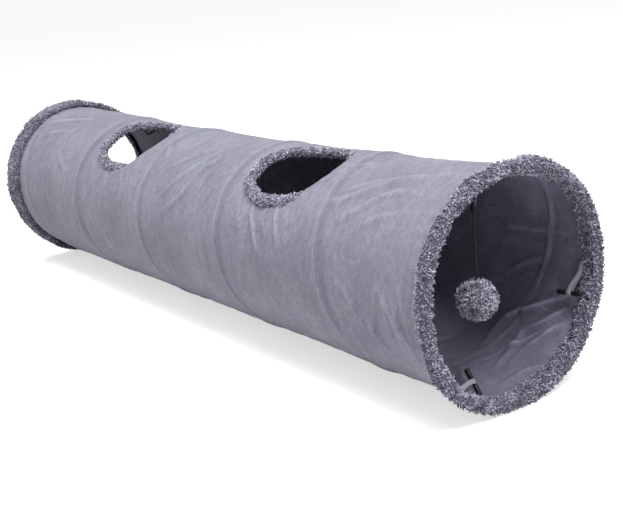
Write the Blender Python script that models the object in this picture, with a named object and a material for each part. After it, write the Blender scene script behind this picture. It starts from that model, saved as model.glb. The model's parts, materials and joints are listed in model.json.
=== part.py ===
"""Collapsible cat tunnel: suede sleeve on a spring-wire helix, plush cuffs, peep windows and a hanging ball.

Metres, +Z up. The tunnel runs along X with its front opening at +X. Places along it are given as `back`,
the distance behind the front face, and places round it as an angle from +Y towards +Z, seen from the front.
Every soft layer is placed by wall_point, so they all follow the same sagging wall at their own depth.
"""

import math

import bmesh
import bpy
from mathutils import Matrix, Vector

# Whole object
TUNNEL_LENGTH = 1.200
SLEEVE_RADIUS = 0.1425
RIM_FLARE = 0.0025
RIM_FLARE_REACH = 0.070
TOP_DROOP = 0.080
DROOP_START = 0.045
PILLOW_DEPTH = 0.0025
PILLOW_FADE = 0.120

# Layers of the wall, from outside to inside
SUEDE_THICKNESS = 0.0012
LINING_THICKNESS = 0.0007
LAYER_GAP = 0.0004
SEAM_GAP = 0.0004
WALL_COLUMNS = 36
WALL_ROW = 0.060

# Spring wire and the casing that holds it to the lining
WIRE_DIAMETER = 0.0022
WIRE_PITCH = 0.2309
WIRE_TO_LINING = 0.0012
WIRE_RING_INSET = 0.0140
WIRE_RING_SPACING = 0.0036
WIRE_RING_ANGLE = 123.8
WIRE_RUN_IN = 20.0
WIRE_LEAN = 0.028
WIRE_LEAN_ANGLE = 148.0
WIRE_LEAN_FRONT = 0.513
WIRE_LEAN_REAR = 0.257
WIRE_POINTS_PER_TURN = 24
RING_POINTS_PER_TURN = 36
CASING_THICKNESS = 0.0008
CASING_WIDTH = 0.0088
CASING_CLEARANCE = 0.0004
FERRULE_WALL = 0.0005
FERRULE_CLEARANCE = 0.0003
FERRULE_SHARE = 0.64

# Plush cuffs on the two rims
CUFF_PLUSH_OUTSIDE = 0.0088
CUFF_PLUSH_INSIDE = 0.0026
CUFF_NOSE = 0.0080
CUFF_FLAT_DEPTH = 0.0030
CUFF_EDGE = 0.0035
CUFF_SEGMENTS = 40
CUFF_NOSE_STEPS = 6
FRONT_CUFF_OUTSIDE = 0.0155
FRONT_CUFF_INSIDE = 0.0230
REAR_CUFF_OUTSIDE = 0.0430
REAR_CUFF_INSIDE = 0.0190
SOFT_CLEARANCE = 0.0004
EDGE_CLEARANCE = 0.0006

# Peep windows and their plush rims
WINDOW_ANGLE = 114.5
NEAR_WINDOW_BACK = 0.339
WINDOW_SPACING = 0.458
WINDOW_LENGTH = 0.170
WINDOW_ARC = 66.0
WINDOW_SQUARENESS = 2.4
TRIM_RADIUS = 0.0065
TRIM_SLOT_CLEARANCE = 0.0006
TRIM_STATIONS = 32
TRIM_ARC_POINTS = 8

# Toggles inside the front rim
BAR_LENGTH = 0.036
BAR_RADIUS = 0.0033
BAR_WAIST_RADIUS = 0.0022
BAR_ROUNDING = 0.0016
BAR_BEVEL = 0.4
BAR_WAIST_LENGTH = 0.0080
RIBBON_WIDTH = 0.0065
RIBBON_THICKNESS = 0.0009
RIBBON_LENGTH = 0.0420
RIBBON_CLEARANCE = 0.0003
RIBBON_PINCH = 0.0003
RIBBON_STEPS = 5
RIBBON_BEND_STEPS = 6
TOGGLE_TRIES = 4

# Elastic loops inside the rear half
LOOP_REACH = 0.120
LOOP_ROOM = 0.140
LOOP_GAP = 0.0060
LOOP_BAND_WIDTH = 0.0040
LOOP_BAND_THICKNESS = 0.0013
LOOP_DRIFT = -23.0
LOOP_STANDOFF = 0.0330
LOOP_LEG_STEPS = 5
LOOP_BEND_STEPS = 6
LOOP_ANGLES = (54.0, 172.0, 310.0)
TAB_LENGTH = 0.0120
TAB_THICKNESS = 0.0016

# Hanging ball
BALL_RADIUS = 0.025
BALL_DIMPLE = 0.0020
BALL_BACK = 0.0258
BALL_SIDE = -0.0390
STRING_DIAMETER = 0.0025
STRING_LENGTH = 0.1100
KNOT_RADIUS = 0.0024
KNOT_STEPS = 6
STRING_POINTS = 17
ANCHOR_WIDTH = 0.0045
ANCHOR_THICKNESS = 0.0030

WINDOW_BACKS = (NEAR_WINDOW_BACK, NEAR_WINDOW_BACK + WINDOW_SPACING)
LINING_DEPTH = SUEDE_THICKNESS + LAYER_GAP
WALL_DEPTH = LINING_DEPTH + LINING_THICKNESS
WIRE_DEPTH = WALL_DEPTH + WIRE_TO_LINING + WIRE_DIAMETER / 2
FACET_SAG = SLEEVE_RADIUS * (1 - math.cos(math.pi / WALL_COLUMNS))
ROW_SAG = PILLOW_DEPTH / 8
ON_LINING = WALL_DEPTH + FACET_SAG + SOFT_CLEARANCE

# The cuffs' cavity holds the wall's outer face, the wire's ring and its ferrule
RIM_RADIUS = SLEEVE_RADIUS + RIM_FLARE
RING_SAG = RIM_RADIUS * (1 - math.cos(math.pi / RING_POINTS_PER_TURN))
CRIMP = WIRE_DIAMETER / 2 + FERRULE_CLEARANCE + FERRULE_WALL
CAVITY_TOP = (RIM_RADIUS + SOFT_CLEARANCE) / math.cos(math.pi / CUFF_SEGMENTS)
CAVITY_FLOOR = RIM_RADIUS - WIRE_DEPTH - CRIMP - RING_SAG - SOFT_CLEARANCE
CUFF_OUTER_RADIUS = CAVITY_TOP + CUFF_PLUSH_OUTSIDE
CUFF_INNER_RADIUS = CAVITY_FLOOR - CUFF_PLUSH_INSIDE
AXIS_HEIGHT = CUFF_OUTER_RADIUS - CUFF_FLAT_DEPTH
WALL_START = CUFF_NOSE + EDGE_CLEARANCE

# Each toggle: where its ribbon is sewn, how far it leans from pointing at the axis, or what its bar rests on
TOGGLES = (
    {
        "back": 0.0435, "angle": 97.8, "lift": 0.0002, "side": -1, "lean": 12.9, "slope": 0.0,
        "bar": (0.75, -0.66, 0.0),
    },
    {
        "back": 0.0300, "angle": 358.0, "lift": 0.0010, "side": 1, "seat": "cuff", "slope": 0.10,
        "bar": (1.0, 0.0, -0.11),
    },
    {
        "back": 0.0360, "angle": 233.0, "lift": 0.0012, "side": -1, "seat": "wall", "slope": 0.0,
        "bar": (-0.60, 0.55, 0.58),
    },
)


def clear_scene():
    for old in list(bpy.data.objects):
        bpy.data.objects.remove(old, do_unlink=True)


def linear(channel):
    """One sRGB channel, 0 to 255, as the linear value a shader takes."""
    value = channel / 255
    return value / 12.92 if value <= 0.04045 else ((value + 0.055) / 1.055) ** 2.4


def make_material(name, srgb, roughness, metallic=0.0):
    material = bpy.data.materials.new(name)
    material.use_nodes = True
    shader = material.node_tree.nodes["Principled BSDF"]
    shader.inputs["Base Color"].default_value = (*(linear(c) for c in srgb), 1.0)
    shader.inputs["Roughness"].default_value = roughness
    shader.inputs["Metallic"].default_value = metallic
    return material


def smooth(share):
    """A soft step from 0 to 1."""
    share = min(max(share, 0.0), 1.0)
    return share * share * (3 - 2 * share)


def end_share(back, reach):
    """1 at either rim, falling to 0 a given reach away from both."""
    to_rim = min(back, TUNNEL_LENGTH - back)
    return 1 - smooth(to_rim / reach)


def lean(back, angle):
    """How far behind an even helix the wire lies here. Its turns stand more upright on the windows' side."""
    grown = smooth((back - WIRE_RING_INSET) / WIRE_LEAN_FRONT)
    left = smooth((TUNNEL_LENGTH - WIRE_RING_INSET - back) / WIRE_LEAN_REAR)
    return WIRE_LEAN * math.sin(math.radians(angle - WIRE_LEAN_ANGLE)) * grown * left


def pillow(back, angle):
    """How far the fabric is drawn in between two turns of the wire."""
    even = back - lean(back, angle) - WIRE_RING_INSET
    turn = even / WIRE_PITCH + (angle - WIRE_RING_ANGLE + WIRE_RUN_IN) / 360
    return PILLOW_DEPTH * math.sin(math.pi * turn) ** 2 * (1 - end_share(back, PILLOW_FADE))


def droop(back):
    """Share by which the top of the tunnel hangs lower than a round one, most at the middle."""
    along = (back - DROOP_START) / (TUNNEL_LENGTH - 2 * DROOP_START)
    along = min(max(along, 0.0), 1.0)
    return TOP_DROOP * 4 * along * (1 - along)


def wall_point(back, angle, depth):
    """A point of the wall, a given depth under its outer face."""
    radius = SLEEVE_RADIUS + RIM_FLARE * end_share(back, RIM_FLARE_REACH) - pillow(back, angle) - depth
    across = radius * math.cos(math.radians(angle))
    up = radius * math.sin(math.radians(angle))
    if up > 0:
        up *= 1 - droop(back)
    return Vector((TUNNEL_LENGTH / 2 - back, across, AXIS_HEIGHT + up))


def add_object(name, mesh, material, smooth_angle=40.0):
    """An object for a finished mesh, shaded smooth but for its real edges."""
    mesh.materials.append(material)
    mesh.shade_smooth()
    mesh.set_sharp_from_angle(angle=math.radians(smooth_angle))
    made = bpy.data.objects.new(name, mesh)
    bpy.context.collection.objects.link(made)
    return made


def mesh_from_bmesh(name, shape):
    bmesh.ops.recalc_face_normals(shape, faces=shape.faces)
    mesh = bpy.data.meshes.new(name)
    shape.to_mesh(mesh)
    shape.free()
    return mesh


def sweep(name, sections, material, closed_path=False):
    """A solid through a row of closed sections, each with as many points as the next."""
    shape = bmesh.new()
    rings = [[shape.verts.new(point) for point in section] for section in sections]
    pairs = list(zip(rings, rings[1:]))
    if closed_path:
        pairs.append((rings[-1], rings[0]))
    else:
        shape.faces.new(reversed(rings[0]))
        shape.faces.new(rings[-1])
    for first, second in pairs:
        for i in range(len(first)):
            j = (i + 1) % len(first)
            shape.faces.new((first[i], first[j], second[j], second[i]))
    return add_object(name, mesh_from_bmesh(name, shape), material)


def turned(name, profile, steps, centre, axis, material):
    """A solid of revolution. The profile gives (place along the axis, radius), open where it meets it."""
    shape = bmesh.new()
    axis = Vector(axis).normalized()
    side = axis.orthogonal().normalized()
    centre = Vector(centre)
    points = [shape.verts.new(centre + axis * along + side * radius) for along, radius in profile]
    edges = [shape.edges.new(pair) for pair in zip(points, points[1:])]
    if profile[0][1] > 0:
        edges.append(shape.edges.new((points[-1], points[0])))
    bmesh.ops.spin(
        shape, geom=points + edges, cent=centre, axis=axis, angle=math.tau, steps=steps, use_merge=True
    )
    bmesh.ops.remove_doubles(shape, verts=shape.verts, dist=1e-6)
    return add_object(name, mesh_from_bmesh(name, shape), material)


def cut(target, cutter):
    """Subtracts the cutter, which stays as a hidden guide."""
    cutter.hide_render = True
    cutter.display_type = "WIRE"
    modifier = target.modifiers.new("cut", "BOOLEAN")
    modifier.operation = "DIFFERENCE"
    modifier.solver = "EXACT"
    modifier.object = cutter


def wall_tube(name, backs, depth, thickness, material):
    """One layer of the wall, with a row of points at each of these places along the tunnel."""
    shape = bmesh.new()
    angles = [360 * column / WALL_COLUMNS for column in range(WALL_COLUMNS)]
    skins = [
        [[shape.verts.new(wall_point(back, angle, level)) for angle in angles] for back in backs]
        for level in (depth, depth + thickness)
    ]
    for skin in skins:
        for first, second in zip(skin, skin[1:]):
            for i in range(WALL_COLUMNS):
                j = (i + 1) % WALL_COLUMNS
                shape.faces.new((first[i], first[j], second[j], second[i]))
    for edge in (0, -1):
        for i in range(WALL_COLUMNS):
            j = (i + 1) % WALL_COLUMNS
            shape.faces.new((skins[0][edge][i], skins[0][edge][j], skins[1][edge][j], skins[1][edge][i]))
    return add_object(name, mesh_from_bmesh(name, shape), material)


def window_outline(centre, inset, count):
    """Points (back, angle) round a window, a given inset inside the outer edge of its plush rim."""
    half_length = WINDOW_LENGTH / 2 - inset
    half_arc = WINDOW_ARC / 2 - math.degrees(inset / SLEEVE_RADIUS)
    power = 2 / WINDOW_SQUARENESS
    points = []
    for i in range(count):
        turn = math.tau * i / count
        along = math.copysign(abs(math.cos(turn)) ** power, math.cos(turn))
        round_it = math.copysign(abs(math.sin(turn)) ** power, math.sin(turn))
        points.append((centre + half_length * along, WINDOW_ANGLE + half_arc * round_it))
    return points


def window_cutter(name, centre):
    """A plug through the wall, as wide as the middle of the plush rim's roll."""
    shape = bmesh.new()
    outline = window_outline(centre, TRIM_RADIUS, TRIM_STATIONS)
    depths = (-3 * TRIM_RADIUS, 3 * TRIM_RADIUS)
    rings = [[shape.verts.new(wall_point(back, angle, depth)) for back, angle in outline] for depth in depths]
    hubs = [shape.verts.new(wall_point(centre, WINDOW_ANGLE, depth)) for depth in depths]
    for i in range(TRIM_STATIONS):
        j = (i + 1) % TRIM_STATIONS
        shape.faces.new((rings[0][i], rings[0][j], rings[1][j], rings[1][i]))
        for ring, hub in zip(rings, hubs):
            shape.faces.new((ring[i], ring[j], hub))
    return add_object(name, mesh_from_bmesh(name, shape), bpy.data.materials["suede"])


def window_trim(name, centre, material):
    """A plush roll round the window's edge, slotted where the wall goes into it."""
    outline = window_outline(centre, TRIM_RADIUS, TRIM_STATIONS)
    middle = (WALL_DEPTH + FACET_SAG + ROW_SAG) / 2
    slot = middle + TRIM_SLOT_CLEARANCE
    lip = math.asin(slot / TRIM_RADIUS)
    sections = []
    for i, (back, angle) in enumerate(outline):
        here = wall_point(back, angle, middle)
        before = wall_point(*outline[i - 1], middle)
        after = wall_point(*outline[(i + 1) % len(outline)], middle)
        outwards = (wall_point(back, angle, middle - 0.01) - here).normalized()
        away = (after - before).cross(outwards).normalized()
        if away.dot(here - wall_point(centre, WINDOW_ANGLE, middle)) < 0:
            away = -away
        turns = [lip + (math.tau - 2 * lip) * k / (TRIM_ARC_POINTS - 1) for k in range(TRIM_ARC_POINTS)]
        section = [here + TRIM_RADIUS * (away * math.cos(turn) + outwards * math.sin(turn)) for turn in turns]
        floor = -EDGE_CLEARANCE
        section += [here + away * floor - outwards * slot, here + away * floor + outwards * slot]
        sections.append(section)
    return sweep(name, sections, material, closed_path=True)


def wire_place(turned_by):
    """Distance behind the front face of the wire, turned_by degrees back along it from its front ring."""
    run_in = WIRE_RUN_IN * (1 - math.exp(-turned_by / WIRE_RUN_IN))
    return WIRE_RING_INSET + WIRE_PITCH * (turned_by - run_in) / 360


def wire_span():
    """Degrees that the wire turns between its two rings."""
    free_length = TUNNEL_LENGTH - 2 * WIRE_RING_INSET
    return 360 * free_length / WIRE_PITCH + 2 * WIRE_RUN_IN


def wire_back(turned_by, angle):
    """Distance behind the front face of the wire, after so many degrees and at this angle round it."""
    span = wire_span()
    even = wire_place(turned_by) if turned_by <= span / 2 else TUNNEL_LENGTH - wire_place(span - turned_by)
    return even + lean(even, angle)


def helix_turns(span):
    """Degrees along the helix where it has a point, closer together inside the cuffs, where room is short."""
    fine, coarse = 360 / RING_POINTS_PER_TURN, 360 / WIRE_POINTS_PER_TURN
    lead = [fine * i for i in range(round(2 * WIRE_RUN_IN / fine))]
    first, last = 2 * WIRE_RUN_IN, span - 2 * WIRE_RUN_IN
    steps = round((last - first) / coarse)
    middle = [first + (last - first) * i / steps for i in range(steps + 1)]
    return lead + middle + [span - turned_by for turned_by in reversed(lead)]


def wire_route():
    """The wire's points as (back, angle): a closed turn in the front cuff, the helix, one in the rear."""
    step = 360 / RING_POINTS_PER_TURN
    span = wire_span()
    ring = range(1, RING_POINTS_PER_TURN + 2)
    drop = WIRE_RING_SPACING / RING_POINTS_PER_TURN
    front = [(WIRE_RING_INSET - drop * i, WIRE_RING_ANGLE + step * i) for i in reversed(ring)]
    angles = [(turned_by, WIRE_RING_ANGLE - turned_by) for turned_by in helix_turns(span)]
    helix = [(wire_back(turned_by, angle), angle) for turned_by, angle in angles]
    rear_angle = WIRE_RING_ANGLE - span
    rear = [(TUNNEL_LENGTH - WIRE_RING_INSET + drop * i, rear_angle - step * i) for i in ring]
    return front, helix, rear


def tube_curve(name, points, diameter, sides_level, material):
    curve = bpy.data.curves.new(name, "CURVE")
    curve.dimensions = "3D"
    curve.bevel_depth = diameter / 2
    curve.bevel_resolution = sides_level
    curve.use_fill_caps = True
    spline = curve.splines.new("POLY")
    spline.points.add(len(points) - 1)
    for target, point in zip(spline.points, points):
        target.co = (*point, 1)
    curve.materials.append(material)
    made = bpy.data.objects.new(name, curve)
    bpy.context.collection.objects.link(made)
    return made


def least_gap(points, diameter, near_points):
    """The smallest gap between stretches of a tube that are further apart along it than near_points."""
    least = math.inf
    for i, first in enumerate(points):
        for j in range(i + near_points, len(points) - 1):
            along = points[j + 1] - points[j]
            share = min(max((first - points[j]).dot(along) / along.length_squared, 0.0), 1.0)
            least = min(least, (first - points[j] - along * share).length)
    return least - diameter


def spring_wire(material):
    points = [wall_point(back, angle, WIRE_DEPTH) for part in wire_route() for back, angle in part]
    print(f"spring wire: least gap to itself {1000 * least_gap(points, WIRE_DIAMETER, 12):.2f} mm")
    return tube_curve("spring_wire", points, WIRE_DIAMETER, 1, material)


def wire_casing(material):
    """A tape channel along the helix, open towards the lining that it is sewn to."""
    top = WIRE_DEPTH - WIRE_DIAMETER / 2
    floor = WIRE_DEPTH + WIRE_DIAMETER / 2 + CASING_CLEARANCE
    half = CASING_WIDTH / 2
    inner = half - CASING_THICKNESS
    corners = [
        (-half, top), (-half, floor + CASING_THICKNESS), (half, floor + CASING_THICKNESS), (half, top),
        (inner, top), (inner, floor), (-inner, floor), (-inner, top),
    ]
    first_back = FRONT_CUFF_INSIDE + EDGE_CLEARANCE + half
    last_back = TUNNEL_LENGTH - REAR_CUFF_INSIDE - EDGE_CLEARANCE - half
    sections = [
        [wall_point(back + offset, angle, depth) for offset, depth in corners]
        for back, angle in wire_route()[1]
        if first_back < back < last_back
    ]
    return sweep("wire_casing", sections, material)


def ferrule(name, strands, material):
    """A pressed oval sleeve that joins the wire's end to the turn beside it, along a straight step of both."""
    half_height = WIRE_DIAMETER / 2 + FERRULE_CLEARANCE
    half_width = WIRE_RING_SPACING / 2 + half_height

    def oval(centre, across, up, grow):
        corner = math.sqrt(0.5)
        points = []
        for side, turn in ((1, 1), (1, -1), (-1, -1), (-1, 1)):
            reach = WIRE_RING_SPACING / 2
            arc = ((0, 1), (corner, corner), (1, 0))
            for along, high in arc if side * turn > 0 else reversed(arc):
                points.append(
                    centre + across * side * (reach + along * (half_height + grow))
                    + up * turn * high * (half_height + grow)
                )
        return [point for i, point in enumerate(points) if (point - points[i - 1]).length > 1e-5]

    starts = [strand[0] for strand in strands]
    ends = [strand[1] for strand in strands]
    first, last = sum(starts, Vector()) / 2, sum(ends, Vector()) / 2
    margin = (1 - FERRULE_SHARE) / 2
    along = (last - first).normalized()
    across = (starts[1] - starts[0]).normalized()
    up = along.cross(across).normalized()
    centres = [first.lerp(last, margin), first.lerp(last, 1 - margin)]
    shape = bmesh.new()
    outer = [[shape.verts.new(p) for p in oval(c, across, up, FERRULE_WALL)] for c in centres]
    inner = [[shape.verts.new(p) for p in oval(c, across, up, 0)] for c in centres]
    count = len(outer[0])
    for i in range(count):
        j = (i + 1) % count
        shape.faces.new((outer[0][i], outer[0][j], outer[1][j], outer[1][i]))
        shape.faces.new((inner[0][i], inner[0][j], inner[1][j], inner[1][i]))
        for end in (0, 1):
            shape.faces.new((outer[end][i], outer[end][j], inner[end][j], inner[end][i]))
    return add_object(name, mesh_from_bmesh(name, shape), material)


def cuff_profile(outside, inside):
    """The cuff's section as (back, radius): a thick U hooked over the rim, its round nose at the face."""
    outer, inner = CUFF_OUTER_RADIUS, CUFF_INNER_RADIUS
    middle, half = (outer + inner) / 2, (outer - inner) / 2
    points = [(outside, CAVITY_TOP), (outside, outer - CUFF_EDGE), (outside - CUFF_EDGE, outer)]
    for step in range(CUFF_NOSE_STEPS + 1):
        turn = math.pi / 2 - math.pi * step / CUFF_NOSE_STEPS
        points.append((CUFF_NOSE * (1 - math.cos(turn)), middle + half * math.sin(turn)))
    edge = CUFF_PLUSH_INSIDE / 2
    points += [(inside - edge, inner), (inside, inner + edge), (inside, CAVITY_FLOOR)]
    points += [(CUFF_NOSE, CAVITY_FLOOR), (CUFF_NOSE, CAVITY_TOP)]
    return points


def cuff(name, outside, inside, facing, material):
    """A turned cuff, then cut flat underneath where the tunnel stands."""
    rim = (facing * TUNNEL_LENGTH / 2, 0, AXIS_HEIGHT)
    made = turned(name, cuff_profile(outside, inside), CUFF_SEGMENTS, rim, (-facing, 0, 0), material)
    floor = bpy.data.meshes.new("floor_cut")
    box = bmesh.new()
    bmesh.ops.create_cube(box, size=1)
    bmesh.ops.scale(box, vec=(0.2, 2.2 * CUFF_OUTER_RADIUS, 0.05), verts=box.verts)
    bmesh.ops.translate(box, vec=(rim[0], 0, -0.025), verts=box.verts)
    box.to_mesh(floor)
    box.free()
    cut(made, add_object(name + "_floor_cut", floor, material))
    return made


def toggle_directions(place, root):
    """The way a toggle's ribbon runs, until its bar lies on the cuff or the wall, and the bar's own."""
    inwards = Vector((0, -root.y, AXIS_HEIGHT - root.z)).normalized()
    root_radius = math.hypot(root.y, root.z - AXIS_HEIGHT)
    seats = {
        "cuff": CUFF_INNER_RADIUS * math.cos(math.pi / CUFF_SEGMENTS),
        "wall": (SLEEVE_RADIUS - ON_LINING) * math.cos(math.pi / WALL_COLUMNS),
    }
    slope = Vector((place["slope"], 0, 0))
    bar = Vector(place["bar"]).normalized()
    low_end = 0.0
    for _ in range(TOGGLE_TRIES):
        if "seat" in place:
            tip_radius = seats[place["seat"]] - BAR_RADIUS - low_end - SOFT_CLEARANCE
            squares = root_radius ** 2 + RIBBON_LENGTH ** 2 - tip_radius ** 2
            turn = math.acos(min(squares / (2 * root_radius * RIBBON_LENGTH), 1.0))
        else:
            turn = math.radians(place["lean"])
        hang = (Matrix.Rotation(place["side"] * turn, 3, "X") @ inwards + slope).normalized()
        square = (bar - hang * bar.dot(hang)).normalized()
        tip = root + hang * RIBBON_LENGTH
        outwards = Vector((0, tip.y, tip.z - AXIS_HEIGHT)).normalized()
        low_end = BAR_LENGTH / 2 * abs(square.dot(outwards))
    return hang, square


def toggle(number, place, ribbon_material, bar_material):
    """A doubled ribbon sewn to the lining, with a waisted bar in its fold and an empty at its sewn end."""
    root = wall_point(place["back"], place["angle"], ON_LINING + place["lift"])
    hang, bar = toggle_directions(place, root)
    sewn = Vector((math.copysign(1, bar.x), 0, 0))
    pivot = bpy.data.objects.new(f"toggle_pivot_{number}", None)
    pivot.location = root
    bpy.context.collection.objects.link(pivot)
    fold = BAR_WAIST_RADIUS + RIBBON_CLEARANCE

    def strand(grow):
        """One face of the folded ribbon as (along, off its middle): out to the bar, round it and back."""
        steps = [step / RIBBON_STEPS for step in range(RIBBON_STEPS)]
        off = [RIBBON_PINCH + (fold - RIBBON_PINCH) * smooth(share) + grow for share in steps]
        out = [(RIBBON_LENGTH * share, high) for share, high in zip(steps, off)]
        turns = [math.pi / 2 - math.pi * step / RIBBON_BEND_STEPS for step in range(RIBBON_BEND_STEPS + 1)]
        reach = fold + grow
        bend = [(RIBBON_LENGTH + reach * math.cos(turn), reach * math.sin(turn)) for turn in turns]
        return out + bend + [(along, -high) for along, high in reversed(out)]

    def placed(along, high, side):
        """The ribbon's width lies along the tunnel where it is sewn, and turns to the bar's direction."""
        width = sewn.lerp(bar, smooth(along / RIBBON_LENGTH))
        width = (width - hang * width.dot(hang)).normalized()
        return hang * along + hang.cross(width) * high + width * side * RIBBON_WIDTH / 2

    faces = [strand(RIBBON_THICKNESS), strand(0)]
    sections = [
        [placed(*outer, -1), placed(*outer, 1), placed(*inner, 1), placed(*inner, -1)]
        for outer, inner in zip(*faces)
    ]
    ribbon = sweep(f"toggle_ribbon_{number}", sections, ribbon_material)
    ribbon.parent = pivot

    half, waist, corner = BAR_LENGTH / 2, BAR_WAIST_LENGTH / 2, BAR_ROUNDING
    profile = [
        (-half, 0.0), (-half, BAR_RADIUS - corner), (-half + BAR_BEVEL * corner, BAR_RADIUS - BAR_BEVEL * corner),
        (-half + corner, BAR_RADIUS), (-waist - corner, BAR_RADIUS), (-waist, BAR_WAIST_RADIUS),
    ]
    profile += [(-along, radius) for along, radius in reversed(profile)]
    rod = turned(f"toggle_bar_{number}", profile, 12, hang * RIBBON_LENGTH, bar, bar_material)
    rod.parent = pivot
    return pivot


def loop_start(angle):
    """Distance behind the front face of an elastic loop's sewn end, reckoned from the wire turn before it."""
    past_wire = CASING_WIDTH / 2 + LOOP_STANDOFF
    last = TUNNEL_LENGTH - REAR_CUFF_INSIDE - LOOP_ROOM - past_wire
    turned_by = (WIRE_RING_ANGLE - angle) % 360
    backs = []
    while turned_by < wire_span():
        backs.append(wire_back(turned_by, angle))
        turned_by += 360
    return max(back for back in backs if back < last) + past_wire


def elastic_loop(number, angle, band_material, tab_material):
    """A flat elastic loop lying on the lining, its two ends under a sewn tab."""
    start = loop_start(angle)
    depth = ON_LINING
    half_gap = LOOP_GAP / 2 + LOOP_BAND_WIDTH / 2
    drift = math.radians(LOOP_DRIFT)

    def on_wall(along, aside, level):
        back = start + along * math.cos(drift) - aside * math.sin(drift)
        arc = along * math.sin(drift) + aside * math.cos(drift)
        return wall_point(back, angle + math.degrees(arc / SLEEVE_RADIUS), level)

    first, last = TAB_LENGTH + SOFT_CLEARANCE, LOOP_REACH - half_gap
    leg_shares = [step / LOOP_LEG_STEPS for step in range(LOOP_LEG_STEPS + 1)]
    leg = [(first + (last - first) * share, half_gap) for share in leg_shares]
    bends = [math.pi * step / LOOP_BEND_STEPS for step in range(1, LOOP_BEND_STEPS)]
    bend = [(last + half_gap * math.sin(turn), half_gap * math.cos(turn)) for turn in bends]
    route = leg + bend + [(along, -aside) for along, aside in reversed(leg)]
    sections = []
    for i, (along, aside) in enumerate(route):
        ahead = Vector(route[min(i + 1, len(route) - 1)]) - Vector(route[max(i - 1, 0)])
        ahead.normalize()
        left = Vector((-ahead.y, ahead.x)) * LOOP_BAND_WIDTH / 2
        sections.append([
            on_wall(along + s * left.x, aside + s * left.y, depth + level)
            for s, level in ((-1, 0), (1, 0), (1, LOOP_BAND_THICKNESS), (-1, LOOP_BAND_THICKNESS))
        ])
    sweep(f"elastic_loop_{number}", sections, band_material)
    half_tab = half_gap + LOOP_BAND_WIDTH
    corners = [(side, 0) for side in (-1, 0, 1)] + [(side, TAB_THICKNESS) for side in (1, 0, -1)]
    rows = [
        [on_wall(along, side * half_tab, depth + level) for side, level in corners]
        for along in (0, TAB_LENGTH / 2, TAB_LENGTH)
    ]
    sweep(f"loop_tab_{number}", rows, tab_material)


def hanging_ball(plush, cord, thread):
    """A plush ball on a string from a tab behind the cuff's inner edge, with the swivel at its top knot."""
    x = TUNNEL_LENGTH / 2 - BALL_BACK
    lining_radius = SLEEVE_RADIUS + RIM_FLARE * end_share(BALL_BACK, RIM_FLARE_REACH) - ON_LINING
    cuff_edge = math.sqrt(CUFF_INNER_RADIUS ** 2 - BALL_SIDE ** 2)
    ball_top = AXIS_HEIGHT + cuff_edge - STRING_LENGTH - 2 * KNOT_RADIUS
    pivot = bpy.data.objects.new("ball_pivot", None)
    pivot.location = (x, BALL_SIDE, ball_top + STRING_LENGTH + KNOT_RADIUS + SOFT_CLEARANCE)
    bpy.context.collection.objects.link(pivot)

    knot_top = pivot.location.z + KNOT_RADIUS + SOFT_CLEARANCE
    corners = [
        (x + sx * ANCHOR_THICKNESS / 2, BALL_SIDE + sy * ANCHOR_WIDTH / 2)
        for sx, sy in ((-1, -1), (1, -1), (1, 1), (-1, 1))
    ]
    low = [(cx, cy, knot_top) for cx, cy in corners]
    high = [(cx, cy, AXIS_HEIGHT + math.sqrt(lining_radius ** 2 - cy ** 2)) for cx, cy in corners]
    sweep("string_tab", (low, high), thread)

    turns = [math.pi * k / KNOT_STEPS for k in range(1, KNOT_STEPS)]
    knot = [(-KNOT_RADIUS * math.cos(turn), KNOT_RADIUS * math.sin(turn)) for turn in turns]
    knot = [(-KNOT_RADIUS, 0.0)] + knot + [(KNOT_RADIUS, 0.0)]
    top_knot = turned("string_knot", knot, 10, (0, 0, 0), (0, 0, 1), cord)
    top_knot.parent = pivot

    top = pivot.location.z - KNOT_RADIUS - SOFT_CLEARANCE
    points = [(x, BALL_SIDE, top - STRING_LENGTH * k / (STRING_POINTS - 1)) for k in range(STRING_POINTS)]
    tube_curve("ball_string", points, STRING_DIAMETER, 2, cord)

    profile = [(BALL_RADIUS - BALL_DIMPLE, 0.0)]
    profile += [
        (BALL_RADIUS * math.cos(turn), BALL_RADIUS * math.sin(turn))
        for turn in (math.radians(a) for a in (12, 26, 42, 58, 74, 90, 106, 122, 138, 154, 167))
    ]
    profile.append((-BALL_RADIUS, 0.0))
    centre = Vector((0, 0, ball_top - SOFT_CLEARANCE - BALL_RADIUS + BALL_DIMPLE - pivot.location.z))
    ball = turned("ball", profile[::-1], 20, centre, (0, 0, 1), plush)
    ball.parent = pivot


def bay_edges():
    """Where the sleeve is split so that it can fold: its rims, and half a turn of wire beside each window."""
    edges = [WALL_START]
    for back in WINDOW_BACKS:
        edges += [back - WIRE_PITCH / 2, back + WIRE_PITCH / 2]
    return edges + [TUNNEL_LENGTH - WALL_START]


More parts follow.
